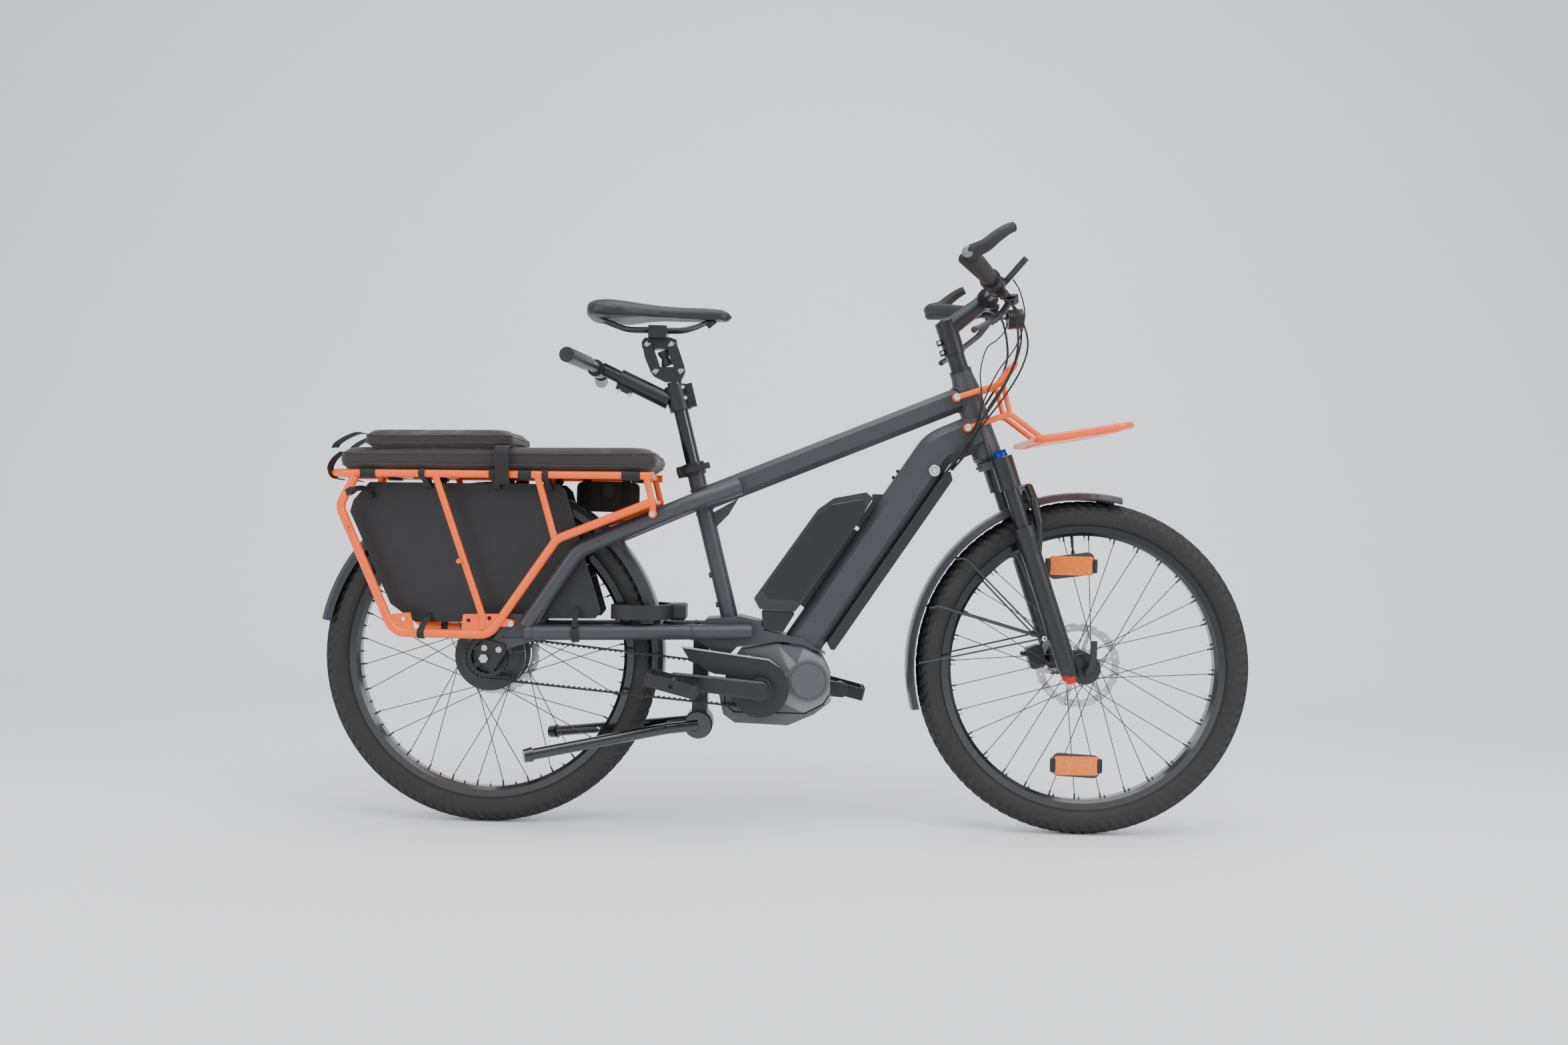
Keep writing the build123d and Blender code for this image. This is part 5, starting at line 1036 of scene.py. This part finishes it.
def bolt(centre, axis, radius, height, hexagon=0.5):
    """Button-head bolt: profile r(s), h(s) turned round its axis, with a six-sided socket."""
    first, second = square_to(axis)
    axis = unit(axis)
    turn = np.linspace(0, 2 * np.pi, 30, endpoint=False)[None, :]
    six = 1 / np.cos(np.mod(turn, np.pi / 3) - np.pi / 6)
    socket = hexagon * radius
    rows = [(socket * 0.86 * six, 0.35 * height), (socket * 0.88 * six, 0.4 * height),
            (socket * 0.92 * six, 0.96 * height), (socket * 1.3 + 0 * turn, height),
            (0.85 * radius + 0 * turn, 0.84 * height), (0.97 * radius + 0 * turn, 0.55 * height),
            (radius + 0 * turn, 0.2 * height), (radius + 0 * turn, 0 * height)]
    out = np.stack([np.broadcast_to(r, turn.shape)[0] for r, _ in rows])[..., None]
    up = np.array([h for _, h in rows])[:, None, None]
    turn = turn[0][None, :, None]
    round_way = np.cos(turn) * first + np.sin(turn) * second
    points = np.asarray(centre, float) + out * round_way + up * axis
    return closed_grid(points)


def make_bolts():
    near, far = (0, -1, 0), (0, 1, 0)
    groups = {
        "frame": [((-555, -96, 422.5), near, 7, 3.6), ((-555, 96, 422.5), far, 7, 3.6),
                  ((348.9, -50.5, 908.7), near, 7.6, 3.4), ((348.9, 50.5, 908.7), far, 7.6, 3.4),
                  ((373.5, -50.5, 845.8), near, 7.6, 3.4), ((373.5, 50.5, 845.8), far, 7.6, 3.4),
                  ((307.2, -38, 755.9), near, 12, 2, 0.3), ((307.2, 38, 755.9), far, 12, 2, 0.3),
                  ((-271, -104, 652), near, 6, 3.2), ((-271, 104, 652), far, 6, 3.2)],
        "lowers": [((537, -70, 414.4), near, 6, 3.2), ((537, 70, 414.4), far, 6, 3.2)],
        "headlight": [((449, -9, 1086), near, 4.6, 3)],
        "seatpost": [((-221.8, -17.5, 919.7), near, 4.2, 3), ((-215.7, -17.5, 897.6), near, 4.2, 3),
                     ((-355.8, -11.5, 909.7), near, 4.0, 2.6), ((-334.2, -11.5, 901.9), near, 4.0, 2.6)],
        "fork": [((*steer_point(700, -26)[[0]], -13, steer_point(700, -26)[2]), near, 3.6, 3),
                 ((*steer_point(722, -26)[[0]], -13, steer_point(722, -26)[2]), near, 3.6, 3)],
    }
    for body, bolts in groups.items():
        piece_mm(body + "_bolts", [bolt(*b) for b in bolts], body, "silver_bolt")


def nipples(axle, body):
    """Spoke nipples: short cones standing on the rim's inner face, one for each spoke."""
    parts = []
    for k in range(SPOKES):
        angle = 2 * np.pi * k / SPOKES
        out = np.array([np.cos(angle), 0, np.sin(angle)])
        side = -1 if k % 2 else 1
        foot = np.asarray(axle) / MM + 276.5 * out + np.array([0, side * 1.5, 0])
        lean = unit(out + np.array([0, side * -0.1, 0]))
        parts.append(tube([foot - 9 * lean, foot + 1 * lean], [1.6, 2.2], 6))
    return piece_mm(body + "_nipples", parts, body, "silver_bolt")


def make_wheel_details():
    nipples(FRONT_AXLE, "front_wheel")
    nipples(REAR_AXLE, "rear_wheel")
    for name, axle, body in (("front_valve", FRONT_AXLE, "front_wheel"),
                             ("rear_valve", REAR_AXLE, "rear_wheel")):
        angle = 2 * np.pi * 8.5 / SPOKES
        out = np.array([np.cos(angle), 0, np.sin(angle)])
        centre = axle / MM
        stem = tube([centre + 277 * out, centre + 262 * out, centre + 248 * out, centre + 238 * out],
                    [3.2, 3.2, 2.4, 2.4], 12)
        cap = tube([centre + 246 * out, centre + 240 * out, centre + 232 * out], [4.0, 4.0, 3.2], 12)
        piece_mm(name, [stem, cap], body, "black_plastic")


# ------------------------------------------------------------------ hubs, motor and lamps
def make_finishing_touches():
    """Repaints parts of CAD pieces whose colour differs from the rest of the piece."""
    repaint("motor_covers", [
        ("crescent_plastic", lambda x, y, z: (y < -44) & near(x, z, (53.6, 314), 62)
         & (np.hypot(x - 53.6, z - 314) > 43)),
    ])
    repaint("belt_guard", [
        ("silver_paint", lambda x, y, z: (y < -62) & (z > 352 - (x + 60) * 0.12))])
    repaint("dropout_plates", [("silver_bolt", lambda x, y, z: (np.abs(y) > 85.4) & (
        near(x, z, (-609.5, 371), 6.4) | near(x, z, (-580, 368), 6.4) | near(x, z, (-609.5, 350), 12)))])
    repaint("fork_crown", [("stanchion", stanchion_faces)])
    repaint("main_frame", [("silver_bolt", lambda x, y, z: (np.abs(y) > 34) & near(
        x, z, (307.2, 755.9), 12.5))])
    repaint("headlight", [("lamp_glass", lambda x, y, z: x > 489.2)])
    repaint("fork_lowers", [("red_anodised", lambda x, y, z: (z < 338) & (y < -50) & (x < 605))])
    for node in ("front_link", "rear_link", "seat_head", "seatpost_tube"):
        repaint(node, [("silver_bolt", lambda x, y, z: (np.abs(y) > 14) & (
            near(x, z, (-298.2, 1006.4), 6) | near(x, z, (-247.4, 1008.9), 6)
            | near(x, z, (-280.3, 952.3), 6) | near(x, z, (-227.6, 954.3), 6)))])


def stanchion_faces(x, y, z):
    """The bare length of both stanchions, between the crown and the sliding legs' collars."""
    along = (x - STEER_FOOT[0]) * STEER_DIR[0] + (z - STEER_FOOT[2]) * STEER_DIR[2]
    return (along > 300) & (along < 388) & (np.abs(y) > 44)


def make_reflectors():
    """Amber lenses on the two wheel reflectors, in their black clips."""
    lenses, clips = [], []
    for radius, angle in ((216, 98), (205, 267)):
        turn = math.radians(angle)
        x = FRONT_AXLE[0] / MM + radius * math.cos(turn)
        z = FRONT_AXLE[2] / MM + radius * math.sin(turn)
        lenses.append(bulge((x, -17.6, z), (46, 1.8, 20), 0.16))
        for side in (-1, 1):
            clips.append(bulge((x + side * 49, -15.5, z), (5.5, 5.5, 15), 0.3, 24, 32))
    piece_mm("reflector_lenses", lenses, "front_wheel", "amber_lens")
    piece_mm("reflector_clips", clips, "front_wheel", "black_plastic")


# ------------------------------------------------------------------ battery and grips
BATTERY_OUTLINE = [(179.6, 697.0), (167.7, 706.4), (100, 693.2), (67.5, 669.1), (-62.4, 481.5),
                   (-50.3, 460.4), (23.7, 456.2), (36.9, 474), (147.9, 636), (179.8, 687.2)]


def make_battery_panels():
    """Glossy inset panels: the battery's outline drawn in by a tenth, as a thin raised plate."""
    outline = np.array(BATTERY_OUTLINE)
    middle = outline.mean(0)
    parts = []
    for side in (-1, 1):
        rows = []
        for scale, lift in ((0.875, 41.2), (0.875, 42.5), (0.865, 43.1), (0.84, 43.2)):
            ring = middle + (outline - middle) * scale
            rows.append(np.stack([ring[:, 0], np.full(len(ring), side * lift), ring[:, 1]], -1))
        parts.append(closed_grid(np.stack(rows), flip=side > 0))
    panel = piece_mm("battery_panels", parts, "battery", "gloss_black", smooth=False)
    face_out(panel)


def make_grips():
    """Rubber sleeves with a palm rest, horns that rise forward from the bar ends, and end rings."""
    for side, word in ((1, "left"), (-1, "right")):
        bend = np.array([411, side * 156, 1116.0])
        out = unit((-81.5, side * 174, 33))
        inner, outer = bend + 58 * out, bend + 184 * out
        down = unit(np.cross(out, (0, 1, 0)) * side + np.array([-0.8, 0, -0.6]))
        t = np.linspace(0, 1, 26)[:, None]
        sleeve = tube(inner + (outer - inner) * t,
                      15.6 + 1.4 * np.sin(t[:, 0] * np.pi) + 0.5 * np.cos(t[:, 0] * np.pi * 22), 28)
        rest = []
        for k in np.linspace(0.12, 0.97, 12):
            rest.append(inner + (outer - inner) * k + down * (7 + 9 * k ** 2))
        palm = tube(np.array(rest), 9 + 3.6 * np.sin(np.linspace(0.4, 2.6, 12)), 20)
        horn_path = smooth_line([outer - 8 * out, outer + 10 * out + (2, 0, 2), outer + (22, side * 22, 14),
                                 outer + (44, side * 24, 32), outer + (62, side * 20, 45),
                                 outer + (76, side * 15, 52)], 30)
        horn = tube(horn_path, np.linspace(15.5, 9.6, len(horn_path)), 24)
        obj = piece_mm(word + "_grip", [sleeve, palm, horn], "fork", "soft_rubber")
        face_out(obj)
        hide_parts("grips")
        cap = outer + 21.5 * out
        ring = tube([cap - 3 * out, cap, cap + 2.4 * out], [11.5, 11.5, 10.5], 32)
        piece_mm(word + "_grip_ring", [ring], "fork", "crescent_plastic")


# ------------------------------------------------------------------ stage
def make_stage():
    scene = bpy.context.scene
    colour = tuple(scene.bicycle_colours.floor)
    finish = Finish("studio_floor", colour, 0.75)
    finish.tint(finish.noise(1.5, 3.0), 0.985, 1.01)
    FINISHES["studio_floor"] = finish
    t = np.linspace(0, 1, 60)
    depth = np.where(t < 0.5, -6 + 16 * t, 2 + 1.6 * np.sin((t - 0.5) * np.pi))
    height = np.where(t < 0.5, 0, 1.6 * (1 - np.cos((t - 0.5) * np.pi)) * 4)
    width = np.linspace(-9, 9, 12)
    points = np.stack(np.broadcast_arrays(width[None, :], depth[:, None], height[:, None]), -1)
    floor = new_piece("studio_sweep", [(points.reshape(-1, 3), wrap(points, flip=True))], None,
                      "studio_floor")
    world = bpy.data.worlds.new("studio_air")
    scene.world = world
    world.use_nodes = True
    world.node_tree.nodes["Background"].inputs[0].default_value = (0.93, 0.95, 1.0, 1.0)
    world.node_tree.nodes["Background"].inputs[1].default_value = 0.85
    for name, place, target, size, power in (
            ("soft_top", (0.3, -0.8, 3.6), (0, 0, 0.5), 3.6, 135),
            ("soft_left", (-3.2, -2.6, 2.4), (0, 0, 0.6), 2.2, 60),
            ("soft_right", (3.0, -2.2, 2.0), (0, 0, 0.6), 1.8, 45)):
        light = bpy.data.lights.new(name, "AREA")
        light.size = size
        light.energy = power
        lamp = bpy.data.objects.new(name, light)
        scene.collection.objects.link(lamp)
        lamp.location = place
        lamp.rotation_euler = (Vector(target) - Vector(place)).to_track_quat("-Z", "Y").to_euler()
    camera = bpy.data.cameras.new("photo_view")
    camera.sensor_width = 36.0
    camera.lens = 30.28
    eye = bpy.data.objects.new("photo_view", camera)
    scene.collection.objects.link(eye)
    eye.location = (-0.0035, -2.78, 0.641)
    eye.rotation_euler = (math.radians(90), math.radians(-1.297), 0)
    scene.camera = eye


# ------------------------------------------------------------------ operators
def done(work):
    work()
    return {"FINISHED"}


class BicycleFinishes(bpy.types.Operator):
    """Gives every CAD piece its procedural finish"""
    bl_idname = "bicycle.finishes"
    bl_label = "Finishes"

    def execute(self, context):
        make_finishes()
        for node, finish in NODE_FINISH.items():
            dress(NODES[node], finish)
        make_finishing_touches()
        return {"FINISHED"}


class BicycleTyres(bpy.types.Operator):
    """Makes both tyres with their tread"""
    bl_idname = "bicycle.tyres"
    bl_label = "Tyres"

    def execute(self, context):
        return done(make_tyres)


class BicyclePads(bpy.types.Operator):
    """Makes the two upholstered pads and their piping"""
    bl_idname = "bicycle.pads"
    bl_label = "Pads"

    def execute(self, context):
        return done(make_pads)


class BicycleSaddle(bpy.types.Operator):
    """Makes the saddle, its rails and its seams"""
    bl_idname = "bicycle.saddle"
    bl_label = "Saddle"

    def execute(self, context):
        return done(make_saddle)


class BicycleCables(bpy.types.Operator):
    """Makes the hoses, cables and leads"""
    bl_idname = "bicycle.cables"
    bl_label = "Cables"

    def execute(self, context):
        return done(make_cables)


class BicycleStraps(bpy.types.Operator):
    """Makes the straps, the rear webbing loops and the pouch"""
    bl_idname = "bicycle.straps"
    bl_label = "Straps"

    def execute(self, context):
        return done(make_straps)


class BicycleWelds(bpy.types.Operator):
    """Makes the weld beads of the frame and the rack"""
    bl_idname = "bicycle.welds"
    bl_label = "Welds"

    def execute(self, context):
        return done(make_welds)


class BicycleBolts(bpy.types.Operator):
    """Makes the bolts, nipples, valves, reflectors and battery panels"""
    bl_idname = "bicycle.bolts"
    bl_label = "Bolts"

    def execute(self, context):
        make_bolts()
        make_reflectors()
        make_battery_panels()
        return done(make_wheel_details)


class BicycleGrips(bpy.types.Operator):
    """Makes the grips, their horns and their end rings"""
    bl_idname = "bicycle.grips"
    bl_label = "Grips"

    def execute(self, context):
        return done(make_grips)


class BicycleStage(bpy.types.Operator):
    """Makes the plain floor, the lights and the camera"""
    bl_idname = "bicycle.stage"
    bl_label = "Stage"

    def execute(self, context):
        return done(make_stage)


STEPS = (BicycleFinishes, BicycleTyres, BicyclePads, BicycleSaddle, BicycleCables, BicycleStraps,
         BicycleWelds, BicycleBolts, BicycleGrips, BicycleStage)


class BicyclePanel(bpy.types.Panel):
    """Lists the steps and the sizes of the bicycle"""
    bl_idname = "VIEW3D_PT_bicycle"
    bl_label = "Bicycle"
    bl_space_type = "VIEW_3D"
    bl_region_type = "UI"
    bl_category = "Bicycle"

    def draw(self, context):
        layout = self.layout
        for step_class in STEPS:
            layout.operator(step_class.bl_idname)
        for group in (context.scene.bicycle_sizes, context.scene.bicycle_colours):
            for name in group.__annotations__:
                layout.prop(group, name)


CLASSES = (BicycleSizes, BicycleColours, *STEPS, BicyclePanel)


def register():
    for item in CLASSES:
        bpy.utils.register_class(item)
    bpy.types.Scene.bicycle_sizes = bpy.props.PointerProperty(type=BicycleSizes)
    bpy.types.Scene.bicycle_colours = bpy.props.PointerProperty(type=BicycleColours)


def unregister():
    del bpy.types.Scene.bicycle_sizes
    del bpy.types.Scene.bicycle_colours
    for item in reversed(CLASSES):
        bpy.utils.unregister_class(item)


def main():
    register()
    for step_class in STEPS:
        family, name = step_class.bl_idname.split(".")
        if getattr(getattr(bpy.ops, family), name)() != {"FINISHED"}:
            raise RuntimeError(step_class.bl_label + " didn't finish")


if __name__ == "__main__":
    main()
